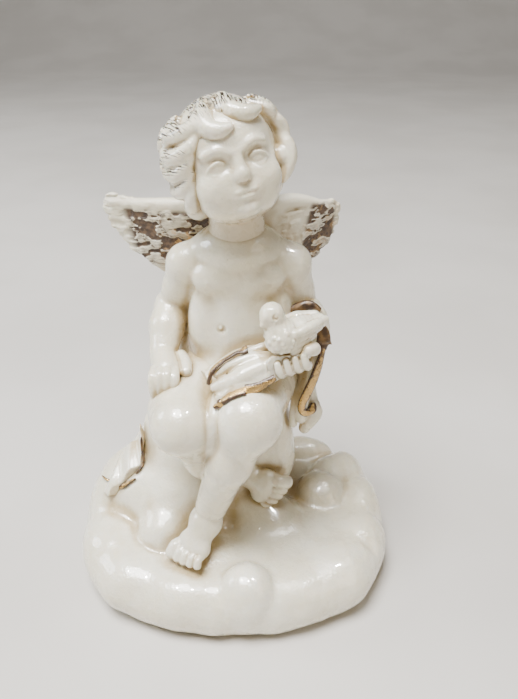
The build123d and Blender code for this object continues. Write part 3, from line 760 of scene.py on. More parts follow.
def make_legs():
    low = np.minimum(BOX["leg_left"][0], BOX["leg_right"][0]) - 1.5
    high = np.maximum(BOX["leg_left"][1], BOX["leg_right"][1]) + 1.5
    clay, foot, right, other = (Clay(low, high, LIMB_GRID) for _ in range(4))
    # the left leg: thigh forward, shin down and across
    h, k, a = hip[1], knee[1], ankle[1]
    k = k + vec(-0.1, 0.9, 1.2)
    clay.add(cone(h, k + vec(0, 0.6, 0), 5.9, 4.7), 0.5)
    clay.add(blob(k + vec(-0.2, 0.1, -0.2), (4.75, 4.4, 4.6)), 1.6)
    calf = k + (a - k) * 0.42 + vec(-0.4, -0.2, 0)
    end = a + (k - a) * 0.10
    clay.add(cone(k + vec(-0.6, 0.3, -1.6), calf, 4.25, 3.65), 2.6)
    clay.add(cone(calf, end, 3.65, 2.85), 1.8)
    # the left foot
    forward = unit(vec(-0.66, -0.69, -0.28))
    inner = vec(-0.70, 0.70, 0.04)
    up = np.cross(inner, forward)
    up *= np.sign(up[2])
    heel = a + vec(0.0, 1.0, -3.2)
    sole = a + vec(-2.2, -2.9, -4.5)
    foot.add(cone(a + vec(-0.2, -0.2, -0.9), heel, 2.85, 2.5), 0.8)
    foot.add(cone(a + vec(-0.5, -0.9, -1.6), sole, 2.85, 2.05), 1.0)
    foot.add(cone(sole + inner * 1.4, sole - inner * 1.5, 2.0, 1.8), 1.0)
    toes(foot, sole + forward * 0.9, forward, inner, up, 1.15)
    clay.join(foot, 0.25)
    # the right leg: folded back behind the left shin
    h, k, a = hip[-1], knee[-1], ankle[-1]
    k = k + vec(1.0, 0.5, 2.9)
    right.add(cone(h + vec(0, 0, 0.3), k + vec(0.2, 1.0, 0.0), 5.9, 4.9), 0.5)
    right.add(blob(k + vec(0, -0.2, -0.2), (4.6, 4.6, 4.5)), 1.6)
    right.add(blob(k + vec(-0.9, 4.6, 0.1), (5.0, 5.0, 4.7)), 1.6)
    calf = k + (a - k) * 0.46 + vec(-0.6, -1.4, -1.4)
    right.add(cone(k + vec(1.0, 0.4, -1.4), calf, 4.0, 3.7), 1.4)
    right.add(cone(calf, a, 3.7, 2.7), 1.2)
    crease = [(-5.0, 1.4, -3.6, 0.2), (-2.2, -1.4, -5.4, 0.3), (3.4, -1.2, -7.4, 0.3)]
    right.cut_strand(k, crease, 0.5, 12)
    # the right foot, which lies on its side
    forward = unit(vec(0.86, -0.42, -0.29))
    inner = vec(0.34, 0.16, 0.92)
    inner = unit(inner - forward * (inner @ forward))
    up = np.cross(forward, inner)
    up *= -np.sign(up[1])
    sole = a + vec(4.7, -2.6, -3.2)
    other.add(cone(a + vec(0.2, 0.2, -0.6), a + vec(0.6, 1.4, -3.2), 2.8, 2.6), 0.8)
    other.add(cone(a + vec(0.6, -0.3, -0.8), sole, 2.8, 2.1), 1.0)
    other.add(cone(sole + inner * 1.7, sole - inner * 1.7, 1.95, 1.85), 0.9)
    toes(other, sole + forward * 0.7, forward, inner, up, 1.22)
    right.join(other, 0.3)
    clay.join(right, 0.45)
    # flesh between the thighs
    web = [(-3.2, -14.2, 2.4, 1.6), (-4.3, -17.2, 0.2, 1.5), (-4.7, -17.7, -3.2, 1.4)]
    web += [(-4.9, -16.4, -6.6, 1.4)]
    clay.add(cone(pelvis + vec(0.2, -7.4, 0.6), pelvis + vec(-3.6, -14.6, -3.4), 3.2, 2.4), 1.6)
    clay.add_strand(pelvis, web, 0.6, 12)
    x, y, z = clay.whole()
    clay.d += 0.07 * wobble(x, y, z, 2.2)
    return clay


legs_clay = make_legs()


# ------------------------------------------------------------------ trunk, arms and hands
def make_trunk():
    low = np.minimum(BOX["arm_right"][0], BOX["torso"][0]) - vec(2.0, 9.0, 1.0)
    high = np.maximum(BOX["arm_left"][1], BOX["torso"][1]) + vec(2.0, 1.5, 2.6)
    clay, right_arm, right_hand, left_arm, left_hand = (
        Clay(low, high, LIMB_GRID) for _ in range(5)
    )
    p, c = pelvis, collar
    trunk = [
        (0, 0.4, 1.0, (9.0, 6.7, 6.6), 0.5),
        (-0.3, -1.3, 8.2, (7.7, 6.2, 7.6), 2.6),
        (-0.3, -0.1, 16.2, (7.3, 5.3, 7.6), 2.8),
    ]
    clay.add_blobs(p, trunk)
    for side in (1, -1):
        clay.add(blob(c + vec(side * 3.4, -2.9, -6.9), (4.2, 2.6, 3.0)), 1.5)
        collar_bone = c + vec(side * 2.2, 0.6, -2.4), shoulder[side] + vec(0, 0.2, 0.4)
        clay.add(cone(*collar_bone, 3.1, 3.1), 1.6)
        clay.add(blob(p + vec(side * 4.6, 4.4, -1.4), (4.8, 3.6, 4.4)), 1.2)
        clay.add(blob(p + vec(side * 6.6, -1.4, 9.4), (2.6, 4.0, 7.4)), 2.6)
    clay.add(blob(c + vec(-0.1, 0.1, -2.7), (7.0, 5.9, 4.3)), 1.6)
    clay.add(blob(p + vec(-1.2, -5.8, 2.6), (7.2, 3.4, 3.4)), 2.4)
    # a soft fold under the chest and one down the back
    fold = [(-4.0, -5.4, -10.0, 0.1), (-2.4, -6.4, -10.3, 0.3), (0.2, -6.9, -10.0, 0.15)]
    fold += [(2.8, -6.4, -10.2, 0.3), (4.4, -5.4, -9.9, 0.1)]
    clay.cut_strand(c, fold, 1.5, 16)
    spine = [(*(c + vec(0.2, 5.6, -6.0)), 0.7), (*(p + vec(0, 6.9, 9.0)), 0.7)]
    clay.cut(strand(spine), 1.6)
    navel = clay.skin(p + vec(-3.3, 0, 11.0), (0, -1, 0.05))
    clay.cut(ball(navel + vec(0, -0.15, -0.1), 0.65), 0.5)
    clay.add(ball(navel + vec(0, 0.35, 0.0), 0.42), 0.2)
    for side in (1, -1):
        nipple = clay.skin(c + vec(side * 3.9, 0, -6.9), (side * 0.2, -1, 0))
        clay.add(ball(nipple + vec(0, 0.22, 0), 0.36), 0.3)
    # upper arms
    for side, near in ((1, vec(-0.1, 0, 0.2)), (-1, vec(1.3, -0.2, 0.6))):
        bend = elbow[side] + near
        half_way = (shoulder[side] + bend) / 2 + vec(-side * 0.2, 0, 0)
        clay.add(cone(shoulder[side], half_way, 3.35, 2.95), 1.2)
        clay.add(cone(half_way, bend, 2.95, 2.9), 1.0)
    # right forearm and hand on the thigh; a web joins the arm to the flank
    e, w, m = elbow[-1] + vec(1.3, -0.4, 0.9), wrist[-1] + vec(-0.3, 0, 0.3), palm[-1]
    half_way = e + (w - e) * 0.5 + vec(-0.2, 0, 0.3)
    right_arm.add(cone(e, half_way, 3.15, 3.05), 0.5)
    right_arm.add(cone(half_way, w, 3.0, 2.4), 0.8)
    clay.join(right_arm, 0.3)
    web = [(2.6, 0.4, 3.0, 2.1), (3.2, 0.2, -5.0, 2.4), (3.6, -1.8, -9.0, 3.2)]
    clay.add_strand(e, web, 1.2)
    right_hand.add(cone(w + vec(0, -0.6, -0.2), m + vec(0, -0.6, 0.4), 2.3, 2.45), 0.5)
    knuckle = m + vec(-0.2, -2.2, 0.6)
    finger = [(0.9, 0.8, 0.9, 0.9), (1.0, -1.1, 0.6, 0.86), (0.98, -1.9, -0.8, 0.78)]
    finger += [(0.9, -2.1, -2.2, 0.66)]
    for number in range(4):
        across = (number - 1.5) * 1.2
        drop = 0.14 * across**2
        rows = [(across * r[0], r[1], r[2] - drop, r[3]) for r in finger]
        right_hand.add_strand(knuckle, rows, 0.08, 10)
    thumb = [(2.2, 2.4, 1.6, 1.0), (2.9, 0.8, 1.3, 1.15), (3.3, -1.4, 0.7, 1.0)]
    right_hand.add_strand(m, thumb, 0.3, 8)
    clay.join(right_hand, 0.2)
    # left forearm, and the hand that holds the dove
    e, w, m = elbow[1], wrist[1], palm[1]
    left_arm.add(cone(e + vec(-0.4, -0.4, 0.1), w, 3.1, 2.3), 0.5)
    clay.join(left_arm, 0.35)
    left_hand.add(cone(w, m + vec(0.4, 0.2, -0.3), 2.2, 2.4), 0.5)
    finger = [(0, 0, 0, 0.9), (-0.3, -1.2, 0.9, 0.72), (-0.7, -1.0, 2.3, 0.62)]
    for number in range(4):
        base = m + vec(2.6 - 1.35 * number, -1.4 - 0.25 * number, -0.9 - 0.35 * number)
        left_hand.add_strand(base, finger, 0.10, 7)
    thumb = [(3.2, 1.0, 0.6, 1.1), (3.6, -0.8, 1.8, 1.15), (2.7, -2.0, 2.2, 0.95)]
    left_hand.add_strand(m, thumb, 0.25, 8)
    clay.join(left_hand, 0.2)
    x, y, z = clay.whole()
    clay.d += 0.06 * wobble(x, y, z, 2.2)
    return clay


trunk_clay = make_trunk()


# ------------------------------------------------------------------ head
HEAD = turn(x=-13.0, y=-13.0, z=16.0)


def head_point(x, y, z):
    return skull + HEAD @ vec(x, y, z)


def head_rows(rows):
    return [(*head_point(*r[:3]), r[3]) for r in rows]


def head_strand(rows, count):
    return strand(head_rows(spline(rows, count)))


def make_head():
    clay = Clay(skull - vec(11.5, 12.5, 14.0), skull + vec(11.5, 11.5, 11.0), HEAD_GRID)

    def lump(x, y, z, radii, k):
        clay.add(blob(head_point(x, y, z), radii, HEAD), k)

    lump(0, 0.4, 1.2, (7.5, 8.2, 8.0), 0.5)
    lump(-0.2, -1.9, -3.0, (6.7, 6.5, 6.2), 2.0)
    lump(0, -3.2, 2.8, (5.9, 5.1, 4.6), 2.0)
    lump(0, -6.6, -7.2, (1.7, 1.5, 1.2), 1.1)
    neck = collar + vec(-0.1, 0.1, -2.0), head_point(-0.2, 1.2, -4.0)
    clay.add(cone(*neck, 4.4, 4.0), 1.2)
    flare = collar + vec(-0.1, 0.8, -2.2), collar + vec(-0.1, 0.5, 1.2)
    clay.add(cone(*flare, 5.4, 4.0), 1.6)
    lump(0, -2.6, -6.4, (4.4, 4.2, 2.3), 1.6)
    eye_out, eye_back, eye_up, eye_size, proud = 2.85, -5.55, -0.6, 2.15, 0.04
    # the lids' edges: across the eye, up it, radius
    upper_lid = [(-1.75, -0.4, 0.16), (-0.8, 0.44, 0.30), (0.1, 0.70, 0.32)]
    upper_lid += [(1.0, 0.42, 0.30), (1.85, -0.35, 0.16)]
    lower_lid = [(-1.65, -0.45, 0.14), (-0.6, -0.92, 0.21), (0.4, -1.02, 0.21)]
    lower_lid += [(1.2, -0.80, 0.21), (1.85, -0.4, 0.14)]
    brow = [(1.0, -8.15, 0.9, 0.35), (2.7, -8.05, 1.75, 0.4), (4.6, -6.9, 1.4, 0.3)]
    for side in (1, -1):
        lump(side * 3.7, -5.2, -3.6, (2.6, 2.3, 2.5), 1.4)
        lump(side * 2.8 - 0.2, -3.4, -5.7, (2.8, 3.2, 2.3), 1.6)
        clay.add(strand(head_rows([(side * b[0], *b[1:]) for b in brow]), 8), 1.0)
        clay.cut(blob(head_point(side * 2.85, -8.7, -0.5), (2.0, 1.35, 1.0), HEAD), 1.0)
        clay.add(ball(head_point(side * eye_out, eye_back, eye_up), eye_size), 0.12)
        for lid in (upper_lid, lower_lid):
            rows = []
            for across, up, radius in lid:
                depth = np.sqrt(eye_size**2 - across**2 - up**2)
                y = eye_back - depth - proud
                rows.append((side * eye_out + side * across, y, eye_up + up, radius))
            clay.add(head_strand(rows, 12), 0.12)
        # ear and nostril's wing
        lump(side * 7.7, 1.2, -1.6, (1.2, 1.9, 2.5), 0.6)
        clay.cut(blob(head_point(side * 8.9, 0.7, -1.4), (0.7, 1.0, 1.5), HEAD), 0.5)
        clay.add(ball(head_point(side * 0.85, -8.1, -2.78), 0.5), 0.4)
    clay.add(cone(head_point(0, -7.9, 0.6), head_point(0, -8.55, -1.9), 0.55, 0.75), 0.9)
    clay.add(ball(head_point(0, -8.5, -2.5), 0.95), 0.6)
    for side in (1, -1):
        clay.cut(ball(head_point(side * 0.5, -8.45, -3.36), 0.14), 0.12)
    clay.cut(strand(head_rows([(0, -8.5, -3.6, 0.1), (0, -8.55, -4.0, 0.12)])), 0.3)
    lump(0, -7.3, -4.8, (2.2, 0.9, 1.2), 1.0)
    for side in (1, -1):
        lump(side * 0.7, -8.0, -4.66, (1.1, 0.55, 0.40), 0.25)
    lump(0, -7.9, -5.52, (1.25, 0.65, 0.46), 0.25)
    mouth = [(-1.8, -8.1, -5.0, 0.06), (-0.9, -8.42, -5.1, 0.11), (0, -8.5, -5.02, 0.11)]
    mouth += [(0.9, -8.42, -5.1, 0.11), (1.8, -8.1, -5.0, 0.06)]
    clay.cut(head_strand(mouth, 14), 0.1)
    clay.cut(blob(head_point(0, -8.8, -6.35), (1.0, 0.4, 0.3), HEAD), 0.5)
    return clay


head_clay = make_head()


# ------------------------------------------------------------------ hair
def make_hair():
    clay = Clay(skull - vec(13.0, 12.5, 12.0), skull + vec(13.0, 13.5, 12.6), HAIR_GRID)
    clay.add(blob(head_point(0, 0.9, 1.6), (8.0, 8.7, 8.4), HEAD), 0.5)
    clay.cut(blob(head_point(0, -9.8, -3.0), (6.4, 7.7, 7.6), HEAD), 0.6)
    clay.cut(blob(head_point(0, -3.0, -14.2), (12, 14, 8.0), HEAD), 0.8)
    # locks about the face: two over the forehead, then down the right side and the left
    front = [
        [(-1.7, -3.4, 7.5, 1.7), (-2.8, -5.7, 6.3, 1.6), (-2.6, -7.2, 4.9, 1.45),
         (-1.4, -8.0, 4.2, 1.25), (0.1, -8.4, 4.3, 0.7)],
        [(0.9, -3.6, 7.9, 1.7), (1.0, -5.6, 6.9, 1.6), (1.9, -6.9, 6.0, 1.4),
         (3.4, -7.0, 5.5, 1.25), (5.2, -6.1, 5.7, 0.7)],
    ]
    locks = [
        [(-2.6, -5.4, 6.9, 0.8), (-4.2, -5.9, 5.8, 1.2), (-6.1, -4.9, 5.2, 1.4),
         (-7.6, -3.2, 5.5, 1.15), (-8.2, -2.2, 6.6, 0.55)],
        [(-4.6, -6.3, 4.2, 0.7), (-5.9, -5.9, 3.1, 1.1), (-7.4, -4.6, 2.5, 1.4),
         (-8.8, -2.6, 2.8, 1.15), (-9.2, -1.6, 3.9, 0.5)],
        [(-6.0, -5.8, 1.9, 0.7), (-7.2, -4.8, 0.6, 1.1), (-8.4, -3.1, 0.2, 1.3),
         (-9.3, -1.2, 0.7, 1.0), (-9.4, -0.2, 1.7, 0.45)],
        [(-6.6, -5.0, -0.2, 0.7), (-7.5, -3.9, -1.7, 1.05), (-8.3, -2.2, -2.3, 1.3),
         (-8.9, -0.4, -2.0, 1.0), (-9.0, 0.8, -1.0, 0.45)],
        [(-6.6, -4.4, -1.8, 0.7), (-7.2, -3.4, -3.6, 1.1), (-7.4, -1.7, -4.8, 1.3),
         (-7.3, 0.0, -5.0, 1.0), (-7.2, 1.2, -4.2, 0.5)],
        [(5.2, -3.2, 6.8, 0.8), (6.6, -3.8, 5.8, 0.95), (7.5, -3.6, 5.0, 0.8), (8.1, -3.0, 4.9, 0.45)],
        [(6.9, -2.4, 5.2, 0.8), (8.2, -2.4, 3.8, 1.1), (9.0, -1.8, 2.4, 1.2), (9.0, -2.0, 1.0, 0.9)],
        [(8.2, -1.4, 1.8, 0.9), (8.9, -2.0, 0.2, 1.3), (8.9, -2.3, -1.8, 1.35),
         (8.0, -2.5, -3.6, 1.1), (7.0, -2.6, -5.0, 0.6)],
    ]
    # the back and the sides behind the face: three staggered tiers of waves
    rng = np.random.default_rng(7)
    tiers = ((4.0, 74, 286), (0.4, 84, 276), (-3.2, 82, 278))
    thickness = (0.5, 0.95, 1.25, 1.4, 1.25, 0.7)
    columns = 9
    for tier, (height, first, last) in enumerate(tiers):
        for column in range(columns):
            share = (column + 0.5 * (tier % 2) * 0.6) / (columns - 1)
            heading = radians(first + (last - first) * min(share, 1.0) + rng.uniform(-4, 4))
            flip = 1 if heading < pi else -1
            rows = []
            for step, thick in enumerate(thickness):
                t = step / 5
                a = heading + flip * (0.16 * sin(2.6 * t * pi) - 0.10 * t)
                drop = height + 3.9 * (1 - t) + rng.uniform(-0.1, 0.1)
                level = np.sqrt(max(1 - ((drop - 1.5) / 9.0) ** 2, 0.04))
                out = 0.15 + 0.7 * t * t
                x = (8.3 * level + out) * np.sin(a)
                y = -(8.9 * level + out) * np.cos(a) + 0.9
                rows.append((x, y, drop, thick))
            locks.append(rows)
    for rows in locks:
        clay.add(head_strand(rows, 12), 0.34)
    for rows in front:
        clay.add(head_strand(rows, 14), 0.9)
    nape = ((-5.8, 4.0, -6.6), (-3.2, 6.4, -7.0), (0.4, 7.2, -7.2), (3.8, 6.2, -6.8))
    for x, y, z in (*nape, (6.0, 3.6, -6.4)):
        clay.add(blob(head_point(x, y * 0.94, z + 0.7), (2.2, 1.9, 1.7), HEAD), 0.9)
    # shallow combed waves from the crown to the locks
    waves = 22
    for number in range(waves):
        heading = 2 * pi * (number + 0.3) / waves + rng.uniform(-0.08, 0.08)
        reach = rng.uniform(0.65, 0.92)
        rows = []
        for share in np.linspace(0.25, reach, 10):
            tilt = share * radians(62)
            a = heading + 0.25 * share + 0.06 * np.sin(9 * share + number)
            x = 8.75 * np.sin(tilt) * np.sin(a)
            y = -9.3 * np.sin(tilt) * np.cos(a)
            z = 8.95 * np.cos(tilt)
            rows.append((x, y + 0.9, z + 1.5, 0.10 + 0.22 * share * (reach - share + 0.3)))
        clay.cut(strand(head_rows(rows)), 0.4)
    return clay


hair_clay = make_hair()


# ------------------------------------------------------------------ wings
def lattice_noise(u, v, seed):
    """Smooth noise from 0 to 1 on a plane, one lattice cell for each unit."""
    table = np.random.default_rng(seed).random((64, 64))
    u, v = u + 32.0, v + 32.0
    iu, iv = np.floor(u).astype(int), np.floor(v).astype(int)
    fu, fv = u - iu, v - iv
    fu, fv = fu * fu * (3 - 2 * fu), fv * fv * (3 - 2 * fv)
    a, b = table[iu % 64, iv % 64], table[(iu + 1) % 64, iv % 64]
    c, d = table[iu % 64, (iv + 1) % 64], table[(iu + 1) % 64, (iv + 1) % 64]
    return (a * (1 - fu) + b * fu) * (1 - fv) + (c * (1 - fu) + d * fu) * fv


def ragged_pattern(u, v, seed):
    """Strokes that run along u, torn at their edges."""
    wave = 0.8 * lattice_noise(u / 3.0, v / 2.0, seed + 5)
    total = 0.46 * lattice_noise(u / 2.3, v / 0.75 + wave, seed)
    total += 0.32 * lattice_noise(u / 1.4, v / 0.45, seed + 1)
    return total + 0.22 * lattice_noise(u / 0.6, v / 0.3, seed + 2)


CAMBER, CAMBER_MIDDLE = 0.007, 4


def wing_strokes(side, u, v):
    """The ragged strokes of one wing, which slant towards its tip."""
    return ragged_pattern(u, v - side * 0.12 * (u - 8), 11 + side)


def make_wing(side):
    """One wing's clay, its root and the way it points."""
    low, high = BOX["wing_left" if side == 1 else "wing_right"]
    sweep = radians(26 if side == 1 else 5)
    out = vec(side * cos(sweep), sin(sweep), 0)
    back = vec(-side * sin(sweep), cos(sweep), 0)
    root = at("torso", 0.473 + side * 0.18, 0.90, 0.876)
    clay = Clay(low - vec(1.5, 1.8, 1.5), high + vec(1.5, 1.8, 1.5), WING_GRID)
    x, y, z = clay.whole()
    dx, dy, dz = x - root[0], y - root[1], z - root[2]
    u = dx * out[0] + dy * out[1]
    w = dx * back[0] + dy * back[1]
    u, v, w = np.broadcast_arrays(u, dz, w)
    w = w - CAMBER * (u - CAMBER_MIDDLE) ** 2
    field = np.full(clay.d.shape, FAR)

    def feather(angle, length, wide, thick, lift, k):
        """A flat blade with a rounded end, on both faces of the wing."""
        nonlocal field
        c, s = cos(angle), sin(angle)
        along = (u - bend[0]) * c + (v - bend[1]) * s
        across = -(u - bend[0]) * s + (v - bend[1]) * c
        share = rise(along, length)
        half = wide * (0.55 + 0.45 * share)
        over = along - share * length
        flat = np.sqrt(over**2 + across**2) - half
        edge = rise(-flat, half)
        body = thick * (0.75 + 0.25 * np.sqrt(edge))
        for face in (1, -1):
            shell = np.abs(w - face * lift) - body
            field = soft_min(field, np.maximum(flat * 0.9, shell * 0.8), k)

    bend = (3.4, 3.8)
    if side == 1:
        tilts = (-3, -12, -22, -32, -42, -52, -62)
        lengths = (11.2, 11.2, 10.9, 10.6, 10.0, 9.2, 8.2)
        # the leading edge: along the wing, height, radius
        edge = [(0.4, 3.4, 2.0), (2.7, 5.4, 1.7), (5.6, 6.2, 1.4), (9.9, 5.4, 1.1), (14.2, 3.4, 0.9)]
    else:
        tilts = (6, -3, -12, -22, -32, -42, -52, -62)
        lengths = (15.2, 14.3, 13.0, 12.1, 10.9, 10.3, 9.9, 9.0)
        edge = [(0.4, 3.4, 2.0), (2.7, 5.2, 1.7), (6.0, 6.1, 1.35), (13.0, 6.0, 1.0)]
        edge += [(18.6, 5.9, 0.85)]
    # three layers: turned by, share of the length, width, thickness, lift, softness
    layers = ((0, 1, 2.1, 0.62, 0.10, 0.25), (4, 0.66, 1.8, 0.5, 0.50, 0.14))
    layers += ((7, 0.34, 1.6, 0.5, 0.80, 0.14),)
    for angle, length in zip(tilts, lengths):
        for turned, share, *sizes in layers:
            feather(radians(angle - turned), length * share, *sizes)
    # ragged strokes across the blades, which hold the dark wash
    field += 0.20 * rise(wing_strokes(side, u, v) - 0.47, 0.10)
    clay.d = field.astype(np.float32)
    rows = []
    for along, height, radius in edge:
        place = root + out * along + vec(0, 0, height)
        rows.append((*(place + back * CAMBER * (along - CAMBER_MIDDLE) ** 2), radius))
    clay.add(strand(rows, 18), 0.5)
    clay.add(blob(root + out * 0.6, (3.0, 2.2, 4.8)), 1.0)
    clay.d += 0.05 * wobble(x, y, z, 1.1)
    return clay, root, out


wing_clays = {side: make_wing(side) for side in (1, -1)}


# ------------------------------------------------------------------ dove
def make_dove():
    low, high = BOX["dove"]
    clay = Clay(low - 2.0, high + 2.0, DOVE_GRID)
    head = at("dove", 0.215, 0.29, 0.80)
    breast = at("dove", 0.33, 0.26, 0.34)
    tail = at("dove", 0.78, 0.65, 0.42)
    clay.add(ball(head, 1.98), 0.3)
    clay.add(cone(head + vec(0.1, 0.3, -0.8), breast, 1.7, 2.5), 0.7)
    clay.add(cone(breast, breast + (tail - breast) * 0.45, 2.6, 2.2), 0.8)
    clay.add(cone(breast + (tail - breast) * 0.45, tail, 2.0, 1.2), 0.8)
    clay.add_strand(head, [(-1.0, -0.8, -0.9, 0.75), (-1.5, -1.1, -1.3, 0.42)], 0.5)
    along = unit(tail - breast)
    sideways = unit(np.cross(along, vec(0, 0, 1)))
    rise = np.cross(sideways, along)
    # four long feathers on each side
    for side in (1, -1):
        outwards = sideways * side
        joint = breast + along * 0.9 + outwards * 1.6 + rise * 0.9
        for number in range(4):
            narrower = 0.15 * number
            start = joint - rise * 1.05 * number + outwards * (0.4 - narrower)
            end = tail + outwards * (1.2 - narrower) + rise * (0.7 - 0.95 * number)
            end = end - along * (1.1 * number)
            middle = (start + end) / 2 + outwards * 0.5 + rise * 0.3
            clay.add(strand([(*start, 0.82), (*middle, 0.86), (*end, 0.68)], 10), 0.04)
    # small feathers on the breast, spread by the golden angle
    golden_angle, tufts = 2.399963, 34
    for number in range(tufts):
        a, b = number * golden_angle, (number + 0.5) / tufts
        ring = np.sqrt(1 - b * b)
        spot = unit(vec(-cos(a) * ring, -abs(sin(a)) * ring, b * 1.6 - 0.9))
        clay.add(ball(breast + spot * 2.5, 0.46), 0.07)
    x, y, z = clay.whole()
    clay.d += 0.10 * wobble(x, y, z, 0.55)
    eye = clay.skin(head, (0.28, -0.92, 0.22))
    clay.cut(ball(eye + vec(0, -0.1, 0), 0.55), 0.1)
    clay.add(ball(eye + vec(0, 0.42, 0), 0.34), 0.05)
    return clay


dove_clay = make_dove()


# ------------------------------------------------------------------ cloth
def trimmed(sheet, *edges):
    """A sheet without what lies beyond its edges, where their distances are above 0."""
    for edge in edges:
        sheet = np.maximum(sheet, edge)
    return sheet.astype(np.float32)


def make_lap_cloth():
    """A band of cloth that follows belly and thighs, with folds from the lap to the hand."""
    low = at("lap_drape", -0.10, -0.95, 0.02)
    high = at("lap_drape", 1.06, 1.10, 1.28)
    clay = Clay(low, high, CLOTH_GRID)
    x, y, z = np.broadcast_arrays(*clay.whole())
    body = clay.gap_to(legs_clay, trunk_clay)
    # the band lies between its two hems, which run up to the figure's left
    top_line = 45.4 + 4.4 * np.sin(rise(x + 3.9, 8.0) * pi * 0.5) - 0.30 * (y + 10)
    low_line = 41.4 + 0.5 * np.maximum(x + 1.5, 0)
    clay.d = trimmed(
        body - 1.0,
        (z - top_line) * 0.8,
        (-2.7 - 0.5 * (y + 11) - x) * 0.85,
        (-13.7 + 0.22 * (x - 1.3) - y) * 0.9,
        (low_line - z) * 0.8,
        (x - 12.2) * 0.9,
    )
    folds = [
        [(-2.2, -12.0, 44.4, 0.8), (0.6, -12.2, 45.7, 1.5), (3.6, -11.4, 47.0, 1.7),
         (6.8, -10.4, 48.0, 1.3)],
        [(-1.6, -13.2, 43.2, 0.6), (1.6, -13.2, 44.6, 1.0), (4.6, -12.4, 45.8, 1.1),
         (7.4, -11.4, 47.0, 0.9)],
        [(-2.0, -10.8, 46.2, 0.6), (0.8, -10.2, 47.8, 0.9), (3.6, -9.8, 48.6, 0.9),
         (6.2, -9.4, 49.0, 0.7)],
        [(3.0, -8.4, 49.0, 0.6), (6.0, -7.6, 49.4, 0.8), (9.0, -6.8, 48.8, 0.8)],
    ]
    for rows in folds:
        clay.add(strand(rows, 12), 0.7)
    clay.clear(body)
    clay.d += (0.10 * wobble(x, y, z, 0.9)).astype(np.float32)
    return clay


def make_sash():
    """The cloth over the left forearm: a loop outside the elbow and a tail beside the thigh."""
    low, high = BOX["sash_tail"]
    clay = Clay(low - vec(2.0, 3.0, 2.0), high + vec(2.0, 2.0, 2.5), CLOTH_GRID)
    top = at("sash_tail", 0.62, 0.50, 0.90)
    loop = [(-2.8, -0.6, 2.0, 0.6), (-0.4, -0.2, 2.9, 0.8), (1.6, -0.2, 1.6, 0.85)]
    loop += [(2.5, -0.6, -1.4, 0.85), (2.2, -1.2, -4.6, 0.7)]
    clay.add_strand(top, loop, 0.4, 16)
    loop = [(-3.0, 1.8, 1.6, 0.8), (-0.4, 2.0, 2.4, 1.0), (1.2, 1.6, 1.2, 1.1)]
    loop += [(1.5, 1.0, -1.4, 1.1), (1.2, 0.4, -4.6, 1.0)]
    clay.add_strand(top, loop, 1.0, 16)
    tails = [
        [(1.4, -1.6, -4.6, 0.8), (0.6, -2.4, -8.0, 0.95), (-0.4, -2.8, -12.0, 1.0),
         (-1.2, -2.9, -15.6, 1.1), (-1.2, -2.4, -19.0, 0.9)],
        [(1.4, 0.4, -3.6, 1.0), (0.8, -0.2, -8.0, 1.0), (0.2, -0.8, -13.0, 1.2),
         (0.6, -1.2, -17.0, 1.3), (-0.4, -1.0, -22.0, 1.1)],
        [(0.0, -0.2, -5.6, 0.9), (-1.0, -1.2, -10.0, 0.9), (-2.2, -1.8, -15.0, 0.9),
         (-2.6, -1.6, -20.6, 0.8)],
        [(1.4, -2.0, -16.4, 0.9), (1.6, -1.8, -18.2, 1.1), (0.4, -1.4, -20.6, 1.1)],
    ]
    for rows in tails:
        clay.add_strand(top, rows, 0.7, 18)
    clay.clear(clay.gap_to(legs_clay, trunk_clay, mound_clay))
    return clay, top


def make_cloth_end():
    """A corner of the cloth that lies on the rock beside the right thigh."""
    low, high = BOX["drape_end"]
    clay = Clay(low - vec(3.0, 2.0, 2.0), high + vec(3.0, 2.0, 3.0), CLOTH_END_GRID)
    x, y, z = np.broadcast_arrays(*clay.whole())
    rock = clay.gap_to(mound_clay)
    share = rise(z - low[2] - 0.6, high[2] - low[2] - 1.0)
    left = low[0] - 0.4 + share * 6.8
    right = high[0] - 3.2 - share * 0.4 + 0.3 * np.sin(z * 1.1)
    clay.d = trimmed(
        rock - (1.0 + 0.35 * np.sin(x * 1.5 + z * 0.3)),
        (left - x) * 0.9,
        (x - right) * 0.9,
        (low[2] + 0.8 - z) * 0.9,
        (-3.0 - y + 0.35 * (x + 20)) * 0.7,
        (z - high[2] + 0.2) * 0.8,
        (y - (high[1] - 3.0)) * 0.9,
    )
    clay.clear(rock)
    return clay


lap_clay = make_lap_cloth()
sash_clay, sash_top = make_sash()
end_clay = make_cloth_end()

# name, clay, material, the CAD nodes it stands for, slot, rounds of evening
PIECES = [
    ("mound_and_rock", mound_clay, RESIN, ("base_mound", "seat_rock"), "resin_ivory", 2),
    ("legs", legs_clay, RESIN, ("leg_left", "leg_right"), "resin_ivory", 2),
    ("trunk_and_arms", trunk_clay, RESIN, ("torso", "arm_left", "arm_right"), "resin_ivory", 2),
    ("head_and_neck", head_clay, RESIN, ("head",), "resin_ivory", 1),
    ("hair", hair_clay, HAIR, ("hair_cap",), "resin_antiqued", 1),
    ("wing_of_left", wing_clays[1][0], WING, ("wing_left",), "resin_antiqued", 1),
    ("wing_of_right", wing_clays[-1][0], WING, ("wing_right",), "resin_antiqued", 1),
    ("dove_body", dove_clay, RESIN, ("dove",), "resin_ivory", 1),
    ("lap_cloth", lap_clay, RESIN, ("lap_drape",), "resin_gilt_edged", 1),
    ("sash", sash_clay, RESIN, ("sash_tail",), "resin_gilt_edged", 1),
    ("cloth_end", end_clay, RESIN, ("drape_end",), "resin_gilt_edged", 1),
]
for row in PIECES:
    piece(*row)


# ------------------------------------------------------------------ what the materials read
def head_values(points, hollow_shade):
    """Painted shade under the jaw, added to the painted shade of the hollows."""
    local = (points - skull) @ HEAD
    below = rise(-7.0 - local[:, 2], 1.6) * rise(local[:, 1] + 6.6, 1.6)
    return {"hollow_shade": np.maximum(hollow_shade, 0.52 * below)}


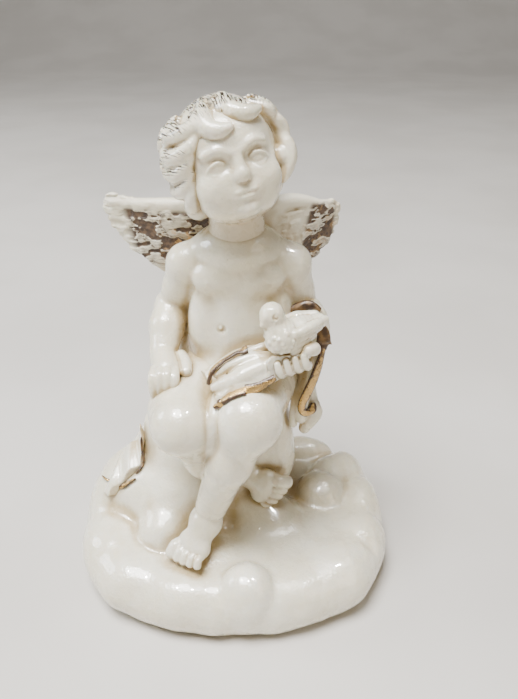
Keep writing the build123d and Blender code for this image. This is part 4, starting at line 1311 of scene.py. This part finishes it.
def hair_values(points, normals):
    """Where the dark wash lies on the hair, and the course of its lines."""
    local = (points - skull) @ HEAD
    front = rise(local[:, 2] - 4.6 + 0.2 * local[:, 1], 2.0)
    flank = rise(-local[:, 0] - 5.2, 1.4) * rise(local[:, 2] + 3.0, 2.0)
    facing = rise(normals @ vec(-0.1, -0.1, 1.0) - 0.05, 0.3)
    # lines lie along great circles from the back of the crown to the forehead
    angle = np.arctan2(local[:, 0] + 1.0, local[:, 2] + 3.0)
    return {
        "crown": np.maximum(front, flank) * facing,
        "comb_across": angle * 11.0 * 3.4,
        "comb_along": local[:, 1] * 0.36 + local[:, 2] * 0.12,
    }


def wing_values(side, points):
    """Torn strokes, the wash that they lie in and the gilding, on one wing."""
    _, root, out = wing_clays[side]
    u = (points - root) @ out
    v = points[:, 2] - root[2]
    stain = rise(wing_strokes(side, u, v) - 0.38, 0.22)
    if side == 1:
        inner = rise(u - 8.6 - 0.25 * (v - 2), 0.8)
        under = rise(6.0 - v - 0.15 * (u - 8), 0.6)
        wash = inner * under * rise(15.6 - u, 0.8)
        gilt = inner * under * 0.3
    else:
        under = rise(5.4 - v, 0.5)
        tip = rise(17.2 - u - 0.22 * (5 - v), 1.2)
        wash = under * tip * np.maximum(rise(v + 5.2, 0.8), 0.25)
        gilt = wash * rise(10.5 - u, 2.0) * rise(2.5 - v, 1.5)
    return {"stain": stain, "wash": wash, "gilt": gilt}


def shade_attributes():
    """Painted shade for the hollows between all the pieces and the grooves of each piece, and the
    pieces' own values. On the wings the grooves also hold the brown strokes.
    """

    def nearest(points):
        found = np.full(len(points), FAR)
        for _, clay, _ in sculpted:
            low, high = clay.low, clay.low + clay.step * (np.array(clay.d.shape) - 1)
            inside = ((points > low) & (points < high)).all(1)
            if inside.any():
                found[inside] = np.minimum(found[inside], clay.sample(points[inside]))
        return found

    for obj, clay, points in sculpted:
        normals = clay.slope(points)
        hollow_shade, groove = np.zeros(len(points)), np.zeros(len(points))
        # how closed in each point is by all the pieces, painted as shade
        for reach, weight in ((0.9, 0.27), (2.0, 0.33), (4.0, 0.3), (7.0, 0.10)):
            hollow_shade += weight * (1 - rise(nearest(points + normals * reach), reach))
        # how closed in each point is by its own piece, painted as shade in the grooves
        for reach in (0.35, 0.7):
            groove += 0.5 * (1 - rise(clay.sample(points + normals * reach), reach))
        values = {"hollow_shade": hollow_shade, "groove": np.clip(groove * 2.2, 0, 1)}
        if obj.name == "head_and_neck":
            values.update(head_values(points, hollow_shade))
        if obj.name == "hair":
            values.update(hair_values(points, normals))
        if obj.name.startswith("wing_of_"):
            values.update(wing_values(1 if obj.name.endswith("left") else -1, points))
        for name, numbers in values.items():
            set_values(obj, name, numbers)


shade_attributes()


# ------------------------------------------------------------------ gilt hems
def edge_attribute(obj, count):
    """0 on the crown of a band, 1 along its sides, and darkest towards its ends."""
    ring = [abs(cos(2 * pi * i / BAND_SIDES)) for i in range(BAND_SIDES)]
    ends = [abs(2 * r / (count - 1) - 1) ** 2 for r in range(count) for _ in range(BAND_SIDES)]
    ends += [1, 1]
    set_values(obj, "edge", np.array(ring * count + [1, 1]) * 0.75 + np.array(ends) * 0.3)
    set_values(obj, "shade", ends)


def surface(clays, points):
    """Distances to the nearest of some clays, and the directions away from it."""
    gaps = np.array([clay.sample(points) for clay in clays])
    slopes = np.stack([clay.slope(points) for clay in clays])
    return gaps.min(0), slopes[gaps.argmin(0), np.arange(len(points))]


def hem(name, rows, clays, material=GILT, thick=0.42, count=64):
    """A band through rows of (x, y, z, half width), which are first moved onto the clays."""
    lift = 0.3
    fine = spline(rows, 26)
    for _ in range(6):
        gap, away = surface(clays, fine[:, :3])
        fine[:, :3] -= away * np.clip(gap - lift, -1.0, 1.0)[:, None]
    for _ in range(10):
        fine[1:-1, :3] = (fine[:-2, :3] + 2 * fine[1:-1, :3] + fine[2:, :3]) / 4
    obj = ribbon(name, fine, lambda points: surface(clays, points)[1], material, thick, count)
    edge_attribute(obj, count)


LAP = [lap_clay, legs_clay, trunk_clay]
UPPER_HEM = [(-4.1, -11.4, 44.8, 0.5), (-2.9, -10.8, 46.7, 0.85), (-1.1, -10.0, 48.2, 0.85)]
UPPER_HEM += [(1.0, -9.2, 49.2, 1.15), (3.2, -9.5, 48.9, 0.9)]
LOWER_HEM = [(-2.2, -14.2, 41.9, 0.25), (-0.9, -14.4, 43.1, 0.85), (1.5, -13.9, 44.5, 1.1)]
LOWER_HEM += [(4.2, -13.4, 45.5, 0.95), (7.2, -12.5, 46.9, 0.55)]
hem("hem_lap_upper", UPPER_HEM, LAP)
hem("hem_lap_lower", LOWER_HEM, LAP)

# about the top of the sash
SASH_HEM = [(1.9, -2.0, -4.4, 0.5), (1.5, -2.9, -6.6, 0.85), (0.7, -3.4, -9.0, 0.95)]
SASH_HEM += [(-0.2, -3.5, -12.0, 0.9), (-1.3, -3.7, -14.4, 0.75), (-1.4, -3.4, -16.4, 0.75)]
SASH_HEM += [(-0.1, -3.3, -17.5, 0.8), (1.1, -3.0, -16.4, 0.8), (0.8, -2.8, -15.2, 0.4)]
TOP_HEM = [(-4.6, -1.6, 1.4, 0.4), (-2.6, -1.4, 2.8, 0.9), (-0.4, -1.2, 3.3, 0.9)]
TOP_HEM += [(1.4, -1.4, 2.4, 0.5)]
INNER_HEM = [(-0.2, -2.0, 0.4, 1.0), (0.5, -2.4, -1.2, 2.3), (1.1, -2.6, -3.0, 2.3)]
INNER_HEM += [(1.7, -2.5, -5.0, 1.2)]
hem("hem_sash", moved(sash_top, SASH_HEM), [sash_clay], GILT, 0.32, 90)
hem("hem_sash_top", moved(sash_top, TOP_HEM), [sash_clay], BRONZE)
hem("hem_sash_inner", moved(sash_top, INNER_HEM), [sash_clay], BRONZE, 0.3)

# the cloth end's lower hem and the line down its right side
LOW_END, HIGH_END = BOX["drape_end"]
END_HEM = [(0.8, 0.8, 0.9, 0.12), (2.4, 0.2, 0.7, 0.25), (5.2, -1.6, 1.0, 0.5)]
END_HEM += [(8.0, -1.8, 2.0, 0.2)]
END_LINE = [(0, -1.2, -0.6, 0.15), (0.1, -1.5, -4.4, 0.36), (0.6, -1.0, -8.2, 0.25)]
END_LINE += [(0.3, -1.6, -10.4, 0.15)]
low_corner, top_right = vec(LOW_END[0], 0, LOW_END[2]), vec(HIGH_END[0] - 3.4, 0, HIGH_END[2])
hem("hem_cloth_end", moved(low_corner, END_HEM), [end_clay, mound_clay], GILT, 0.25)
hem("line_cloth_end", moved(top_right, END_LINE), [end_clay, mound_clay], BRONZE, 0.25)

for name, material in (("wing_pins", STEEL), ("dove_pin", STEEL), ("felt_pad", FELT)):
    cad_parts[name].data.materials.clear()
    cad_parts[name].data.materials.append(material)


# ------------------------------------------------------------------ floor, light and camera
def make_stage():
    """A plain floor that curves up far behind the figurine."""
    side, steps, bend_start, bend = 1.2, 24, 0.7, 1.6
    points, faces = [], []
    for i in range(steps + 1):
        y = -side + 2 * side * i / steps
        z = max(0.0, y - bend_start) ** 2 * bend
        points += [(-side, y, z), (side, y, z)]
    for i in range(steps):
        faces.append((2 * i, 2 * i + 1, 2 * i + 3, 2 * i + 2))
    mesh = bpy.data.meshes.new("floor")
    mesh.from_pydata(points, [], faces)
    floor = add_object("floor", mesh, make_floor())


TARGET = (0, 0, 0.045)


def area_light(name, place, size, power, colour):
    data = bpy.data.lights.new(name, "AREA")
    data.shape = "DISK"
    data.size = size
    data.energy = power
    data.color = colour
    light = bpy.data.objects.new(name, data)
    light.location = place
    direction = Vector(TARGET) - Vector(place)
    light.rotation_euler = direction.to_track_quat("-Z", "Y").to_euler()
    bpy.context.scene.collection.objects.link(light)
    return light


make_stage()
area_light("top", (-0.12, -0.11, 0.60), 0.32, 10.2, (0.99, 0.99, 1.0))
area_light("window", (-0.52, 0.06, 0.30), 0.24, 2.4, (0.88, 0.94, 1.0))
area_light("fill", (0.40, -0.30, 0.30), 0.30, 0.7, (1.0, 0.86, 0.66))
# small lamps that are seen only as glints in the lacquer
for number, place in enumerate(((-0.17, -0.10, 0.50), (0.02, -0.14, 0.52), (0.20, -0.02, 0.50))):
    spot = area_light("spot" + str(number), place, 0.020, 3.0, (1.0, 0.98, 0.95))
    spot.visible_diffuse = False

world = bpy.data.worlds.new("studio")
world.use_nodes = True
background = world.node_tree.nodes["Background"]
background.inputs["Color"].default_value = (1.0, 0.93, 0.82, 1)
background.inputs["Strength"].default_value = 0.12
bpy.context.scene.world = world

CAMERA_PLACE = (0.0048, -0.105, 0.1036)
CAMERA_DOWN = 29.3
FOCAL, SENSOR = 35.5, 36.0
camera_data = bpy.data.cameras.new("camera")
camera_data.lens = FOCAL
camera_data.sensor_width = SENSOR
camera_data.clip_start = 0.005
camera = bpy.data.objects.new("camera", camera_data)
camera.location = CAMERA_PLACE
camera.rotation_euler = (radians(90 - CAMERA_DOWN), 0, 0)
bpy.context.scene.collection.objects.link(camera)
bpy.context.scene.camera = camera

bpy.context.view_layer.update()
